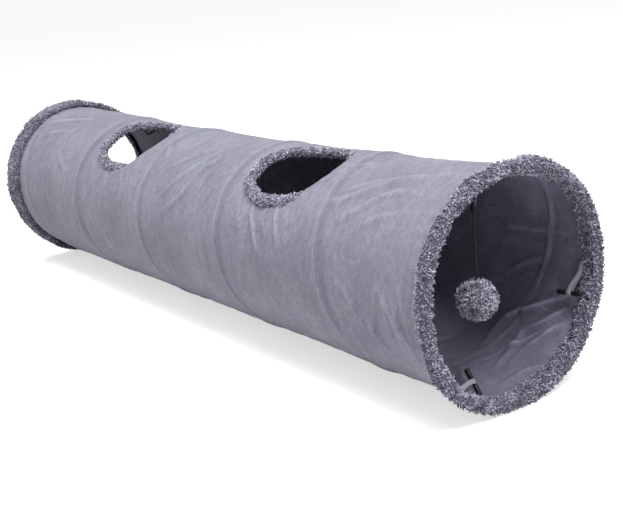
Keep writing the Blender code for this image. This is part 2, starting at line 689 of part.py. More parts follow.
def main():
    clear_scene()
    suede = make_material("suede", (143, 143, 157), 0.92)
    lining = make_material("lining", (92, 91, 102), 0.85)
    plush = make_material("plush", (112, 111, 127), 0.98)
    casing = make_material("casing", (86, 85, 96), 0.88)
    steel = make_material("spring_steel", (150, 152, 156), 0.35, 1.0)
    crimp = make_material("crimp_metal", (190, 190, 188), 0.4, 1.0)
    ribbon = make_material("ribbon", (170, 170, 176), 0.8)
    plastic = make_material("black_plastic", (22, 22, 24), 0.45)
    elastic = make_material("black_elastic", (26, 26, 29), 0.8)
    string = make_material("black_string", (20, 20, 22), 0.75)

    edges = bay_edges()
    liner_start = FRONT_CUFF_INSIDE - 0.0025
    liner_end = TUNNEL_LENGTH - REAR_CUFF_INSIDE + 0.0025
    for number, (start, end) in enumerate(zip(edges, edges[1:]), 1):
        start += SEAM_GAP / 2 if number > 1 else 0
        end -= SEAM_GAP / 2 if number < len(edges) - 1 else 0
        count = math.ceil((end - start) / WALL_ROW)
        rows = [start + (end - start) * row / count for row in range(count + 1)]
        lined = [min(max(back, liner_start), liner_end) for back in rows]
        outer = wall_tube(f"sleeve_bay_{number}", rows, 0.0, SUEDE_THICKNESS, suede)
        inner = wall_tube(f"lining_bay_{number}", lined, LINING_DEPTH, LINING_THICKNESS, lining)
        for window, back in enumerate(WINDOW_BACKS, 1):
            if start < back < end:
                cutter = window_cutter(f"window_cutter_{window}", back)
                cut(outer, cutter)
                cut(inner, cutter)
    window_trim("near_window_trim", WINDOW_BACKS[0], plush)
    window_trim("far_window_trim", WINDOW_BACKS[1], plush)

    spring_wire(steel)
    wire_casing(casing)
    front, helix, rear = (
        [wall_point(back, angle, WIRE_DEPTH) for back, angle in part] for part in wire_route()
    )
    ferrule("front_ferrule", ((front[1], front[0]), (helix[0], front[-1])), crimp)
    ferrule("rear_ferrule", ((rear[-2], rear[-1]), (helix[-1], rear[0])), crimp)

    cuff("front_cuff", FRONT_CUFF_OUTSIDE, FRONT_CUFF_INSIDE, 1, plush)
    cuff("rear_cuff", REAR_CUFF_OUTSIDE, REAR_CUFF_INSIDE, -1, plush)
    for number, place in enumerate(TOGGLES, 1):
        toggle(number, place, ribbon, plastic)
    for number, angle in enumerate(LOOP_ANGLES, 1):
        elastic_loop(number, angle, elastic, ribbon)
    hanging_ball(plush, string, ribbon)


main()
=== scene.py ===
import json
import math

import bpy
import numpy as np
from mathutils import Matrix, Vector


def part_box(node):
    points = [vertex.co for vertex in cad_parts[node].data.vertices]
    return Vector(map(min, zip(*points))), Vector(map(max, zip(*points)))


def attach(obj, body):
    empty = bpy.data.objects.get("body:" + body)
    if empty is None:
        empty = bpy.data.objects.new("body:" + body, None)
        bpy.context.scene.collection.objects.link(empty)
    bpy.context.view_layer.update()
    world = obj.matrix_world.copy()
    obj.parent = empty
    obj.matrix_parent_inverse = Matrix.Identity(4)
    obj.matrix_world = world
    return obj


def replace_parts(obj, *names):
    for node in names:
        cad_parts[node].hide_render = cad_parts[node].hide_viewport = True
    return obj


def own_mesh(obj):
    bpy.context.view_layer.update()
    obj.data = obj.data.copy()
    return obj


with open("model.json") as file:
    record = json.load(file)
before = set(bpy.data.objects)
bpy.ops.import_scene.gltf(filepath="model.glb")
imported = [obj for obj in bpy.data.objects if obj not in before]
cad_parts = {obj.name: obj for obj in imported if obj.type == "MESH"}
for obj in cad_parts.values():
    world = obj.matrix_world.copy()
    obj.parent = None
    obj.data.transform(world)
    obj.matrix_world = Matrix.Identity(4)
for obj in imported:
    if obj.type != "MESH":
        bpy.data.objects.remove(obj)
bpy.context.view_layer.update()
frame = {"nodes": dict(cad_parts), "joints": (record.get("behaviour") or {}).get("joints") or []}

# Camera, at the photograph's angle
camera = {
    "place": (1.4272, -0.8771, 0.5468),
    "looks": (-0.7844, 0.5587, -0.2696),
    "up": (-0.1682, 0.2268, 0.9593),
    "lens": 61.71,
    "sensor": 36.0,
}


def addObject(name, data):
    made = bpy.data.objects.new(name, data)
    bpy.context.scene.collection.objects.link(made)
    return made


def makeCamera():
    back = -Vector(camera["looks"]).normalized()
    right = Vector(camera["up"]).cross(back).normalized()
    axes = Matrix((right, back.cross(right), back)).transposed()
    data = bpy.data.cameras.new("studioCamera")
    data.lens = camera["lens"]
    data.sensor_width = camera["sensor"]
    made = addObject("studioCamera", data)
    made.matrix_world = Matrix.Translation(camera["place"]) @ axes.to_4x4()
    bpy.context.scene.camera = made


makeCamera()

# The tube's wall, as it was built
wall = {
    "length": 1.200,
    "radius": 0.1425,
    "rimFlare": 0.0025,
    "flareReach": 0.070,
    "axisHeight": 0.15165,
    "topDroop": 0.080,
    "droopStart": 0.045,
    "pillowDepth": 0.0036,
    "pillowFade": 0.120,
    "ridgeWidth": 0.0055,  # how fast the cloth falls away beside the wire
    "ridgeShare": 0.58,
    "crestRise": 0.25,
    "start": 0.0086,  # the cloth's edge inside either cuff
}

# The spring wire's course
wire = {
    "diameter": 0.0022,
    "depth": 0.0046,
    "pitch": 0.2309,
    "ringInset": 0.014,
    "ringSpacing": 0.0036,
    "ringAngle": 123.8,
    "runIn": 20.0,
    "lean": 0.028,
    "leanAngle": 148.0,
    "leanFront": 0.513,
    "leanRear": 0.257,
    "perTurn": 120,
}

# The front ring stands a little forward of its place, and isn't quite flat or round:
# a mean, then a cosine and a sine of one, two and three waves round it
mouth = {
    "forward": (0.0068, 0.0016, 0.0023, 0.0001, 0.0024, -0.0021, -0.0011),
    "swell": (0.0007, 0.0006, -0.0007, 0.0001, -0.0011, -0.0003, -0.0003),
    "reach": 0.250,
    "rearSwell": (-0.0025, 0, 0, 0.0006, -0.0034, 0, 0),
    "rearReach": 0.150,
}


def smooth(share):
    share = np.clip(share, 0, 1)
    return share * share * (3 - 2 * share)


def nearRim(back, reach):
    return 1 - smooth(np.minimum(back, wall["length"] - back) / reach)


def wireLean(back, angle):
    grown = smooth((back - wire["ringInset"]) / wire["leanFront"])
    left = smooth((wall["length"] - wire["ringInset"] - back) / wire["leanRear"])
    return wire["lean"] * np.sin(np.radians(angle - wire["leanAngle"])) * grown * left


def fromWire(back, angle):  # distance along the tunnel from the nearest turn of the wire
    even = back - wireLean(back, angle) - wire["ringInset"]
    turn = even / wire["pitch"] + (angle - wire["ringAngle"] + wire["runIn"]) / 360
    return (turn - np.round(turn)) * wire["pitch"]


def drawnIn(back, angle):  # the cloth's belly between two turns, and its crest over each
    off = fromWire(back, angle)
    crest = 1 - np.exp(-np.abs(off) / wall["ridgeWidth"])
    belly = np.sin(np.pi * off / wire["pitch"]) ** 2
    depth = wall["ridgeShare"] * crest + (1 - wall["ridgeShare"]) * belly - wall["crestRise"]
    slack = 0.5 + 0.5 * smooth((np.sin(np.radians(angle)) + 0.5) / 0.8)  # the cloth hangs taut below
    return wall["pillowDepth"] * (depth * slack) * (1 - nearRim(back, wall["pillowFade"]))


def droop(back):
    along = np.clip((back - wall["droopStart"]) / (wall["length"] - 2 * wall["droopStart"]), 0, 1)
    return wall["topDroop"] * 4 * along * (1 - along)


def wavesRound(turn, terms):
    total = terms[0]
    for k in (1, 2, 3):
        total = total + terms[2 * k - 1] * np.cos(k * turn) + terms[2 * k] * np.sin(k * turn)
    return total


def leanMouth(points):
    back = wall["length"] / 2 - points[..., 0]
    turn = np.arctan2(points[..., 2] - wall["axisHeight"], points[..., 1])
    atFront = 1 - smooth(back / mouth["reach"])
    atRear = 1 - smooth((wall["length"] - back) / mouth["rearReach"])
    swell = wavesRound(turn, mouth["swell"]) * atFront + wavesRound(turn, mouth["rearSwell"]) * atRear
    forward = wavesRound(turn, mouth["forward"]) * atFront
    return points + np.stack([forward, swell * np.cos(turn), swell * np.sin(turn)], -1)


def wallPoints(back, angle, depth):
    back, angle, depth = np.broadcast_arrays(back, angle, depth)
    flare = wall["rimFlare"] * nearRim(back, wall["flareReach"])
    radius = wall["radius"] + flare - drawnIn(back, angle) - depth
    across = radius * np.cos(np.radians(angle))
    up = radius * np.sin(np.radians(angle))
    up = np.where(up > 0, up * (1 - droop(back)), up)
    return leanMouth(np.stack([wall["length"] / 2 - back, across, wall["axisHeight"] + up], -1))


def wrapped(angle):  # to -180..180
    return (angle + 180) % 360 - 180


def ripples(back, angle, seed, count, around, along):  # smooth noise that closes round the tunnel
    rng = np.random.default_rng(seed)
    total = 0.0
    for _ in range(count):
        turns = rng.integers(-around, around + 1)
        waves = rng.uniform(-along, along)
        start = rng.uniform(0, 2 * np.pi)
        total = total + np.sin(np.radians(angle) * turns + 2 * np.pi * waves * back + start)
    return total * math.sqrt(2 / count)


def rounded(route, steps):  # a smooth curve through a few points
    points = np.array(route, float)
    before, after = 2 * points[0] - points[1], 2 * points[-1] - points[-2]
    ends = np.vstack([before, points, after])
    made = []
    for a, b, c, d in zip(ends, ends[1:], ends[2:], ends[3:]):
        for t in np.linspace(0, 1, steps, endpoint=False):
            curve = 2 * b + (c - a) * t + (2 * a - 5 * b + 4 * c - d) * t ** 2
            made.append(0.5 * (curve + (3 * b - a - 3 * c + d) * t ** 3))
    return np.array(made + [points[-1]])


def foldHeight(back, angle, folds):  # a fold is its height and width in mm, then each back in mm and angle
    back, angle = np.broadcast_arrays(back, angle)
    total = np.zeros(back.shape)
    for height, width, *route in folds:
        width = width / 1000
        curve = rounded(np.reshape(route, (-1, 2)) / (1000, 1), 6)
        middle = curve[:, 1].mean()
        path = np.stack([curve[:, 0], wall["radius"] * np.radians(curve[:, 1] - middle)], -1)
        around = wall["radius"] * np.radians(wrapped(angle - middle))
        low, high = path.min(0) - 3 * width, path.max(0) + 3 * width
        near = (back > low[0]) & (back < high[0]) & (around > low[1]) & (around < high[1])
        spots = np.stack([back[near], around[near]], -1)
        least = np.full(len(spots), np.inf)
        place = np.zeros(len(spots))
        for i, (first, second) in enumerate(zip(path, path[1:])):
            step = second - first
            share = np.clip((spots - first) @ step / (step @ step), 0, 1)
            gap = np.linalg.norm(spots - first - share[:, None] * step, axis=1)
            place = np.where(gap < least, (i + share) / (len(path) - 1), place)
            least = np.minimum(gap, least)
        taper = np.sin(np.pi * np.clip(place, 0.02, 0.98)) ** 0.7
        total[near] += height / 1000 * taper * np.exp(-((least / width) ** 2))
    return total


# Meshes

def unit(vectors):
    return vectors / np.linalg.norm(vectors, axis=-1, keepdims=True)


def circle(steps):
    return 2 * np.pi * np.arange(steps) / steps


def runOf(points):  # the length from the first point to each
    return np.append(0, np.cumsum(np.linalg.norm(np.diff(points, axis=0), axis=1)))


def placePiece(name, data, material, body):
    data.materials.append(material)
    piece = addObject(name, data)
    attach(piece, body)
    return piece


def makePiece(name, points, faces, material, body, uv=None, values=None):
    # faces is a list of arrays, each of faces with the same number of corners, and uv one array for each
    used, index = np.unique(np.concatenate([group.ravel() for group in faces]), return_inverse=True)
    parts = np.split(index.ravel(), np.cumsum([group.size for group in faces])[:-1])
    groups = [part.reshape(group.shape) for part, group in zip(parts, faces)]
    points = points.reshape(-1, 3)[used]
    if volumeOf(points, groups) < 0:
        groups = [group[:, ::-1] for group in groups]
        uv = uv and [group[:, ::-1] for group in uv]
    mesh = bpy.data.meshes.new(name)
    mesh.from_pydata(points.tolist(), [], [face for group in groups for face in group.tolist()])
    if uv:
        layer = mesh.uv_layers.new(name="fabric")
        layer.data.foreach_set("uv", np.concatenate([group.ravel() for group in uv]))
    for key, numbers in (values or {}).items():
        made = mesh.attributes.new(key, "FLOAT", "POINT")
        made.data.foreach_set("value", numbers[used])
    mesh.shade_smooth()
    return placePiece(name, mesh, material, body)


def volumeOf(points, groups):
    total = 0.0
    for group in groups:
        first = points[group[:, 0]]
        for k in range(1, group.shape[1] - 1):
            total += (first * np.cross(points[group[:, k]], points[group[:, k + 1]])).sum()
    return total


def swept(sections, closedPath=False):  # a skin through a row of closed sections: points, faces, uv
    count, sides = sections.shape[:2]
    r, c = (grid.ravel() for grid in np.indices((count if closedPath else count - 1, sides)))
    corners = ((r, c), (r, c + 1), (r + 1, c + 1), (r + 1, c))
    faces = [np.stack([(a % count) * sides + b % sides for a, b in corners], -1)]
    middles = sections.mean(1)
    along = runOf(np.vstack([middles, middles[:1]]))
    around = runOf(np.vstack([sections[0], sections[0][:1]]))
    uv = [np.stack([np.stack([around[b], along[a]], -1) for a, b in corners], 1)]
    for row, turn in () if closedPath else ((0, 1), (count - 1, -1)):
        cap = np.arange(sides)[::turn]
        faces.append(row * sides + cap[None])
        uv.append(np.stack([around[cap], np.full(sides, along[row])], -1)[None])
    return sections.reshape(-1, 3), faces, uv


def turned(profile, steps, centre, axis):  # a solid of revolution; the profile's ends lie on the axis
    axis = unit(np.array(axis, float))
    side = unit(np.cross(axis, (1, 0, 0) if abs(axis[0]) < 0.9 else (0, 1, 0)))
    turns = circle(steps)[:, None]
    spokes = np.cos(turns) * side + np.sin(turns) * np.cross(axis, side)
    along, radius = np.array(profile).T[..., None]
    rings = centre + along[1:-1, None] * axis + radius[1:-1, None] * spokes
    points = np.vstack([rings.reshape(-1, 3), centre + along[[0, -1]] * axis])
    here = np.arange(steps)
    following = (here + 1) % steps
    row = steps * np.arange(len(along) - 3)[:, None]
    quads = np.stack([row + here, row + following, row + steps + following, row + steps + here], -1)
    last = steps * (len(along) - 3)
    first = np.stack([np.full(steps, len(points) - 2), following, here], -1)
    second = np.stack([np.full(steps, len(points) - 1), last + here, last + following], -1)
    return points, [quads.reshape(-1, 4), np.vstack([first, second])]


def flatten(piece):
    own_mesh(piece)


def sewn(name, sections, material, node=None, body="front_end", paintedLight=0.0, closedPath=False, folds=True):
    points, faces, uv = swept(sections, closedPath)
    # a painted highlight over the whole piece, 0 for most pieces
    values = {"paintedLight": np.full(len(points), paintedLight)}
    piece = makePiece(name, points, faces, material, body, uv=uv, values=values)
    if node:
        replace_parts(piece, node)
    if folds:
        flatten(piece)


# Materials

def feed(tree, node, inputs):  # a socket is linked, and a number is set on the node's own socket
    for key, value in inputs.items():
        if isinstance(value, bpy.types.NodeSocket):
            tree.links.new(value, node.inputs[key])
        else:
            node.inputs[key].default_value = value


def addNode(tree, kind, inputs, **settings):
    node = tree.nodes.new("ShaderNode" + kind)
    for key, value in settings.items():
        setattr(node, key, value)
    feed(tree, node, inputs)
    return node.outputs


def placeOf(tree, scale):  # two scales stretch the cloth's own coordinates, in metres, and three the solid's
    if len(scale) == 2:
        source = addNode(tree, "UVMap", {}, uv_map="fabric")["UV"]
    else:
        source = addNode(tree, "TexCoord", {})["Object"]
    return addNode(tree, "Mapping", {"Vector": source, "Scale": (*scale, 1)[:3]})["Vector"]


def noiseOf(tree, scale, detail, roughness=0.55, distortion=0.0):
    return addNode(tree, "TexNoise", {
        "Vector": placeOf(tree, scale), "Scale": 1.0, "Detail": detail, "Roughness": roughness,
        "Distortion": distortion,
    })[0]


def waveOf(tree, scale, direction, distortion=0.0):
    inputs = {"Vector": placeOf(tree, scale), "Scale": 1.0, "Distortion": distortion}
    return addNode(tree, "TexWave", inputs, bands_direction=direction)[1]


def weaveOf(tree, scale):
    return mathOf(tree, "MULTIPLY", waveOf(tree, (scale[0], 1), "X"), waveOf(tree, (1, scale[1]), "Y"))


def valueOf(tree, key):
    return addNode(tree, "Attribute", {}, attribute_name=key)["Fac"]


def mathOf(tree, operation, *inputs):
    return addNode(tree, "Math", dict(enumerate(inputs)), operation=operation)[0]


def sumOf(tree, total, parts):  # parts are (socket, weight), each counted from 0.5
    for socket, weight in parts:
        if weight:
            total = mathOf(tree, "MULTIPLY_ADD", mathOf(tree, "SUBTRACT", socket, 0.5), weight, total)
    return total


def linear(srgb):
    values = [channel / 255 for channel in srgb]
    return [v / 12.92 if v <= 0.04045 else ((v + 0.055) / 1.055) ** 2.4 for v in values] + [1.0]


def newMaterial(name, roughness, metallic=0.0, sheen=0.0):
    material = bpy.data.materials.new(name)
    material.use_nodes = True
    shader = material.node_tree.nodes["Principled BSDF"]
    feed(material.node_tree, shader, {
        "Roughness": roughness, "Metallic": metallic, "Sheen Weight": sheen,
        "Specular IOR Level": 0.5 if metallic else 0.25,
    })
    return material, material.node_tree, shader


def colourAndBump(tree, shader, tone, places, colours, height, distance, strength):
    ramp = tree.nodes.new("ShaderNodeValToRGB")
    elements = ramp.color_ramp.elements
    while len(elements) < len(colours):
        elements.new(0.5)
    for element, place, colour in zip(elements, places, colours):
        element.position = place
        element.color = linear(colour)
    feed(tree, ramp, {"Fac": tone})
    bump = addNode(tree, "Bump", {"Height": height, "Distance": distance, "Strength": strength})
    feed(tree, shader, {"Base Color": ramp.outputs["Color"], "Normal": bump["Normal"]})


def layered(name, layers, places, colours, bump, roughness, gloss=0.0, start=0.5, **kind):
    material, tree, shader = newMaterial(name, roughness, **kind)
    tones, reliefs = [], []
    for pattern, scale, settings, tone, relief in layers:
        socket = pattern(tree, scale, *settings)
        tones.append((socket, tone))
        reliefs.append((socket, relief))
    # the painted highlight and painted shade of folds and crests are added to the tone here
    tone = sumOf(tree, mathOf(tree, "ADD", valueOf(tree, "paintedLight"), start), tones)
    colourAndBump(tree, shader, tone, places, colours, sumOf(tree, 0.0, reliefs), *bump)
    if gloss:
        feed(tree, shader, {"Roughness": sumOf(tree, roughness, [(tone, gloss)])})
    return material


def plushMaterial(name, *colours):
    material, tree, shader = newMaterial(name, 0.95, sheen=0.2)
    fleck = noiseOf(tree, (420, 420, 420), 2)
    # darkest at the roots and on the backing, lighter towards the tips: partly the pile's dark undercoat,
    # partly painted shade deep in the pile
    strand = mathOf(tree, "MULTIPLY", mathOf(tree, "POWER", valueOf(tree, "tip"), 0.5), valueOf(tree, "tone"))
    tone = sumOf(tree, strand, [(fleck, 0.25)])
    colourAndBump(tree, shader, tone, (0.05, 0.42, 0.95), colours, fleck, 0.0008, 0.6)
    return material


def tapeMaterial(name, dark, light, threads):
    layers = (
        (waveOf, (1, threads), ("Y",), 0.35, 1),
        (waveOf, (threads * 1.6, 1), ("X",), 0.2, 0.4),
        (noiseOf, (120, 90), (3,), 0.6, 0),
    )
    return layered(name, layers, (0, 1), (dark, light), (0.00025, 0.8), 0.8)


def metalMaterial(name, dark, light, roughness):
    layers = ((noiseOf, (300, 2400, 2400), (3,), 1, 1),)
    return layered(name, layers, (0.3, 0.7), (dark, light), (0.00008, 0.6), roughness, 0.3, metallic=1.0)


def suedeMaterial(name, *colours):
    return layered(name, suedeLayers, (0, 0.5, 1), colours, (0.0020, 0.8), 0.93, sheen=0.12)


def liningMaterial(name):
    colours = ((82, 81, 96), (111, 110, 128), (156, 156, 177))
    return layered(name, liningLayers, (0, 0.5, 1), colours, (0.0050, 0.8), 0.62, sheen=0.05)


# each row: the pattern, its scale and settings, its share of the tone and of the relief
suedeLayers = (
    (noiseOf, (34, 130), (5, 0.6, 0.6), 0.45, 0.7),  # streaks
    (noiseOf, (8, 11), (3, 0.5), 0.50, 0),  # clouds
    (noiseOf, (62, 74), (4, 0.6, 1.2), 0.50, 1),  # crumple
    (noiseOf, (190, 420), (3, 0.6), 0.50, 0.3),  # brushed nap
    (noiseOf, (1500, 1500), (2, 0.6), 0.30, 0.15),  # grain
)
liningLayers = (
    (noiseOf, (14, 18), (4, 0.55), 0.6, 0),
    (noiseOf, (46, 30), (4, 0.5, 1.4), 0.35, 1),
    (noiseOf, (900, 900), (2,), 0.15, 0.03),
    (weaveOf, (190, 190), (), 0, 0.05),
)
plasticLayers = (
    (noiseOf, (160, 160, 160), (3,), 1, 0),
    (noiseOf, (2600, 2600, 2600), (2,), 0, 1),
)
stringLayers = (
    (waveOf, (420, 420, 420), ("DIAGONAL", 1.5), 0.7, 0.7),
    (noiseOf, (1500, 1500, 900), (3,), 0.4, 0.4),
)
suede = suedeMaterial("lilacSuede", (98, 97, 113), (133, 133, 148), (172, 172, 186))
# a paler copy of the suede: a painted highlight along the wire's crest
suedeHighlight = suedeMaterial("highlightedSuede", (106, 105, 121), (141, 141, 156), (180, 180, 194))
lining = liningMaterial("slateLining")
casingCloth = liningMaterial("casingCloth")
plush = plushMaterial("curledPlush", (36, 36, 48), (136, 135, 154), (202, 201, 218))
ballPlush = plushMaterial("ballPlush", (44, 44, 56), (138, 137, 155), (204, 203, 219))
threadCloth = tapeMaterial("seamThread", (116, 116, 132), (156, 156, 172), 500)
ribbonCloth = tapeMaterial("greyRibbon", (120, 120, 129), (184, 184, 193), 330)
elasticBand = tapeMaterial("blackElastic", (16, 16, 18), (48, 48, 53), 300)
blackPlastic = layered(
    "blackPlastic", plasticLayers, (0.3, 0.7), ((18, 18, 20), (31, 31, 34)), (0.0001, 0.5), 0.42, 0.25,
)
springSteel = metalMaterial("springSteel", (128, 130, 134), (170, 172, 176), 0.35)
crimpMetal = metalMaterial("crimpMetal", (168, 168, 166), (208, 208, 206), 0.4)
blackString = layered(
    "blackString", stringLayers, (0, 1), ((12, 12, 14), (44, 44, 48)), (0.0004, 0.8), 0.72, start=0.4,
)
print("materials are made")


# Ball's string: one straight drop from the knot at the cuff to the ball
string = {
    "top": (0.5742, -0.0390, 0.2760),
    "length": 0.1100,
    "diameter": 0.0025,
    "points": 17,
}


def cordPiece(name, points, diameter, body, closed=False):
    curve = bpy.data.curves.new(name, "CURVE")
    curve.dimensions = "3D"
    curve.bevel_depth = diameter / 2
    curve.bevel_resolution = 4
    curve.use_fill_caps = True
    spline = curve.splines.new("POLY")
    spline.points.add(len(points) - 1)
    for target, point in zip(spline.points, points):
        target.co = (*point, 1)
    spline.use_cyclic_u = closed
    return placePiece(name, curve, blackString, body)


def makeString():
    x, y, top = string["top"]
    points = [(x, y, top - drop) for drop in np.linspace(0, string["length"], string["points"])]
    cord = cordPiece("ballString", points, string["diameter"], "hanging_ball")
    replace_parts(cord, "ball_string")


makeString()
print("string is hung")


# Peep windows
window = {
    "angle": 114.5,
    "backs": (0.339, 0.797),
    "length": 0.170,
    "arc": 66.0,
    "squareness": 2.4,
    "rollRadius": 0.0065,
    "flap": 0.0065,
}
holeReach = window["length"] / 2 - window["rollRadius"]
holeArc = window["arc"] / 2 - math.degrees(window["rollRadius"] / wall["radius"])


def signedPower(value, power):
    return np.sign(value) * np.abs(value) ** power


def windowSpot(centre, turn):  # (back, angle) on a window's outline
    power = 2 / window["squareness"]
    along, around = (signedPower(wave, power) for wave in (np.cos(turn), np.sin(turn)))
    return centre + holeReach * along, window["angle"] + holeArc * around


def flapReach(turn):  # the suede reaches further into the hole at its lower front
    degrees = np.degrees(turn) % 360
    return window["flap"] * smooth((degrees - 92) / 36) * smooth((182 - degrees) / 30)


def windowLevel(back, angle, centre):  # 1 on the outline, less inside it
    along = (back - centre) / holeReach
    around = wrapped(angle - window["angle"]) / holeArc
    power = window["squareness"]
    turn = np.arctan2(signedPower(around, power / 2), signedPower(along, power / 2))
    reach = 1 - flapReach(turn) / holeReach
    return (np.abs(along) ** power + np.abs(around) ** power) / reach ** power


def clothShell(backs, angles, depthOf, seen, hidden):
    # Two skins of one sheet, joined along its rims and round the windows: the seen one is twice as fine
    rows, columns = len(backs), len(angles)
    kept = np.ones((rows // 2, columns // 2), bool)
    for centre in window["backs"]:
        kept &= windowLevel(backs[1::2, None], angles[None, 1::2], centre) >= 1
    fine = kept.repeat(2, 0).repeat(2, 1)
    edge = np.ones((1, columns), bool)
    touching = np.vstack([edge, fine]).astype(int) + np.vstack([fine, edge])
    touching = touching + np.roll(touching, 1, axis=1)
    back, angle = np.meshgrid(backs, angles, indexing="ij")
    for centre in window["backs"]:
        snapped = (touching > 0) & (touching < 4) & (np.abs(back - centre) < window["length"])
        scale = windowLevel(back[snapped], angle[snapped], centre) ** (-1 / window["squareness"])
        back[snapped] = centre + (back[snapped] - centre) * scale
        angle[snapped] += wrapped(angle[snapped] - window["angle"]) * (scale - 1)

    def facesOf(*corners):  # corners are (row, column, skin): their points' numbers, and places on the cloth
        numbers, places = [], []
        for row, column, skin in corners:
            place = column % columns
            turn = angle[row, place] + 360 * (column // columns) - angles[0]
            places.append(np.stack([wall["radius"] * np.radians(turn), back[row, place]], -1))
            if skin:
                numbers.append(rows * columns + row // 2 * (columns // 2) + place // 2)
            else:
                numbers.append(row * columns + place)
        return np.stack(numbers, -1), np.stack(places, 1)

    r, c = np.nonzero(fine)
    quads = [facesOf((r, c, 0), (r + 1, c, 0), (r + 1, c + 1, 0), (r, c + 1, 0))]
    r, c = (2 * grid for grid in np.nonzero(kept))
    quads.append(facesOf((r, c + 2, 1), (r + 2, c + 2, 1), (r + 2, c, 1), (r, c, 1)))
    tris = []
    square = ((0, 0), (2, 0), (2, 2), (0, 2))
    for start, end in zip(square, square[1:] + square[:1]):
        row, column = r + end[1] - start[1], (c - end[0] + start[0]) % columns
        outside = (row < 0) | (row >= rows - 1)
        open_ = outside | ~kept[np.clip(row // 2, 0, len(kept) - 1), column // 2]
        a, b = ((r[open_] + spot[0], c[open_] + spot[1]) for spot in (start, end))
        middle = ((a[0] + b[0]) // 2, (a[1] + b[1]) // 2, 0)
        tris.append(facesOf(middle, (*a, 0), (*a, 1)))
        tris.append(facesOf(middle, (*a, 1), (*b, 1)))
        tris.append(facesOf((*b, 0), middle, (*b, 1)))
    skins = []
    for skip, extra in ((1, seen), (2, hidden)):
        spot = back[::skip, ::skip], angle[::skip, ::skip]
        skins.append(wallPoints(*spot, depthOf(*spot) + extra).reshape(-1, 3))
    faces, uv = ([np.vstack([group[k] for group in same]) for same in (quads, tris)] for k in (0, 1))
    return np.vstack(skins), faces, uv, back, angle


def makeCloth(name, layer, backs, depthOf, skins, material, bay, extraPaintedLight=None):
    angles = sleeve["seamAngle"] + 360 * np.arange(layer["columns"]) / layer["columns"]
    points, faces, uv, back, angle = clothShell(backs, angles, depthOf, *skins)
    folds = foldHeight(back, angle, layer["folds"])
    blurred = (np.roll(folds, 3, 1) + np.roll(folds, -3, 1)) / 2
    # painted light: paler along each fold's crest, with painted shade beside it where the blurred fold height
    # is taken away
    paintedLight = layer["foldPaintedLight"] * (folds - layer["blur"] * blurred)
    if extraPaintedLight:
        paintedLight = paintedLight + extraPaintedLight(back, angle)
    values = {"paintedLight": np.append(paintedLight, np.zeros(len(points) - paintedLight.size))}
    piece = makePiece(name, points, faces, material, "front_end", uv=uv, values=values)
    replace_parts(piece, *(f"{bay}_{k}" for k in range(1, 6)))
    flatten(piece)
    return piece


# Suede sleeve, outermost layer
sleeve = {
    "columns": 280,
    "rows": 281,
    "crowdingBacks": (0, 0.12, 0.2, 0.28, 0.40, 0.46, 0.60, 0.72, 0.85, 0.90, 1.2),
    "crowding": (1.2, 1.2, 0.9, 1.5, 1.5, 1.0, 0.8, 1.2, 1.2, 0.7, 0.7),  # how close its rows lie there
    "thickness": 0.0012,
    "seamAngle": 330.0,
    "seamDepth": 0.0009,
    "seamWidth": 0.0022,
    "waves": 0.00055,
    "hoops": 0.00035,
    "deepestDip": 0.0009,
    "puckerCount": 46,
    "puckerSway": 2.2,
    "puckerHeight": 0.0006,
    "puckerReach": 0.022,
    "frontCover": 0.0155,
    "rearCover": 0.0430,
    "coverFade": 0.004,
    # how strongly the folds' painted highlight and painted shade show, and how much blurred fold height is
    # taken away for the shade
    "foldPaintedLight": 150,
    "blur": 0.9,
    "foldScale": 2.2,
    "folds": (
        # top of the middle bay, fanning from the near window
        (2.2, 4.5, 520, 100, 517, 117, 537, 131, 554, 149, 598, 165),
        (1.6, 4, 510, 96, 545, 119, 586, 141, 622, 158),
        (1.8, 4.2, 486, 112, 479, 124, 476, 139, 492, 152),
        (1.2, 3.6, 500, 118, 507, 134, 522, 150),
        (1.2, 3.8, 560, 108, 600, 124, 640, 139),
        # top of the front bay
        (1.3, 5, 230, 136, 190, 132, 150, 120, 105, 112),
        (1.1, 4.4, 205, 128, 168, 120, 129, 113, 90, 108),
        (1.1, 4.4, 190, 145, 165, 139, 121, 124, 76, 121),
        (0.9, 4, 270, 124, 253, 118, 224, 106, 200, 99),
        (0.9, 4, 150, 148, 112, 138, 72, 133),
        # bottom of the front bay, beside the cuff
        (2, 4.5, 88, 170, 78, 177, 63, 186, 40, 199, 36, 212),
        (1.6, 4.5, 112, 188, 106, 196, 92, 206, 84, 214),
        (1.2, 4, 60, 164, 46, 176, 34, 186),
        (1.5, 3, 67, 172, 57, 187, 59, 198),
        (1.3, 3.4, 89, 167, 99, 186, 111, 199),
        (1.4, 3.4, 154, 195, 146, 212, 154, 225),
        (1.2, 3, 44, 174, 40, 185, 36, 199, 33, 210),
        (1.3, 3.4, 171, 172, 141, 182, 126, 195),
        (1.3, 3, 81, 175, 75, 188, 77, 201),
        # hanging from the near window's rim
        (2.4, 3, 397, 144, 392, 152, 387, 163),
        (2.8, 3.1, 366, 144, 360, 152, 339, 166, 331, 176),
        (2.6, 3.1, 311, 141, 307, 148, 290, 162, 282, 174),
        (2.2, 3, 283, 145, 272, 159, 268, 171),
        (1.4, 3.4, 230, 146, 227, 156, 223, 169),
        (2, 2.9, 336, 145, 330, 154, 321, 163),
        # hanging from the far window's rim
        (1.4, 3.4, 812, 146, 805, 152, 802, 160),
        (1.7, 3.6, 786, 146, 783, 150, 776, 158, 770, 170),
        (1.5, 3.4, 757, 146, 746, 150, 737, 162),
        (1.5, 3.4, 733, 141, 730, 152, 738, 168),
        (1.2, 3.2, 835, 145, 838, 154, 836, 163),
        # rear bays
        (2, 6, 1140, 121, 1107, 115, 1050, 107, 1001, 101),
        (1.2, 4.5, 1120, 134, 1080, 126, 1030, 122),
        (1.4, 5, 1020, 140, 993, 147, 960, 156),
        (1.2, 4.2, 700, 108, 665, 121, 640, 132),
    ),
}


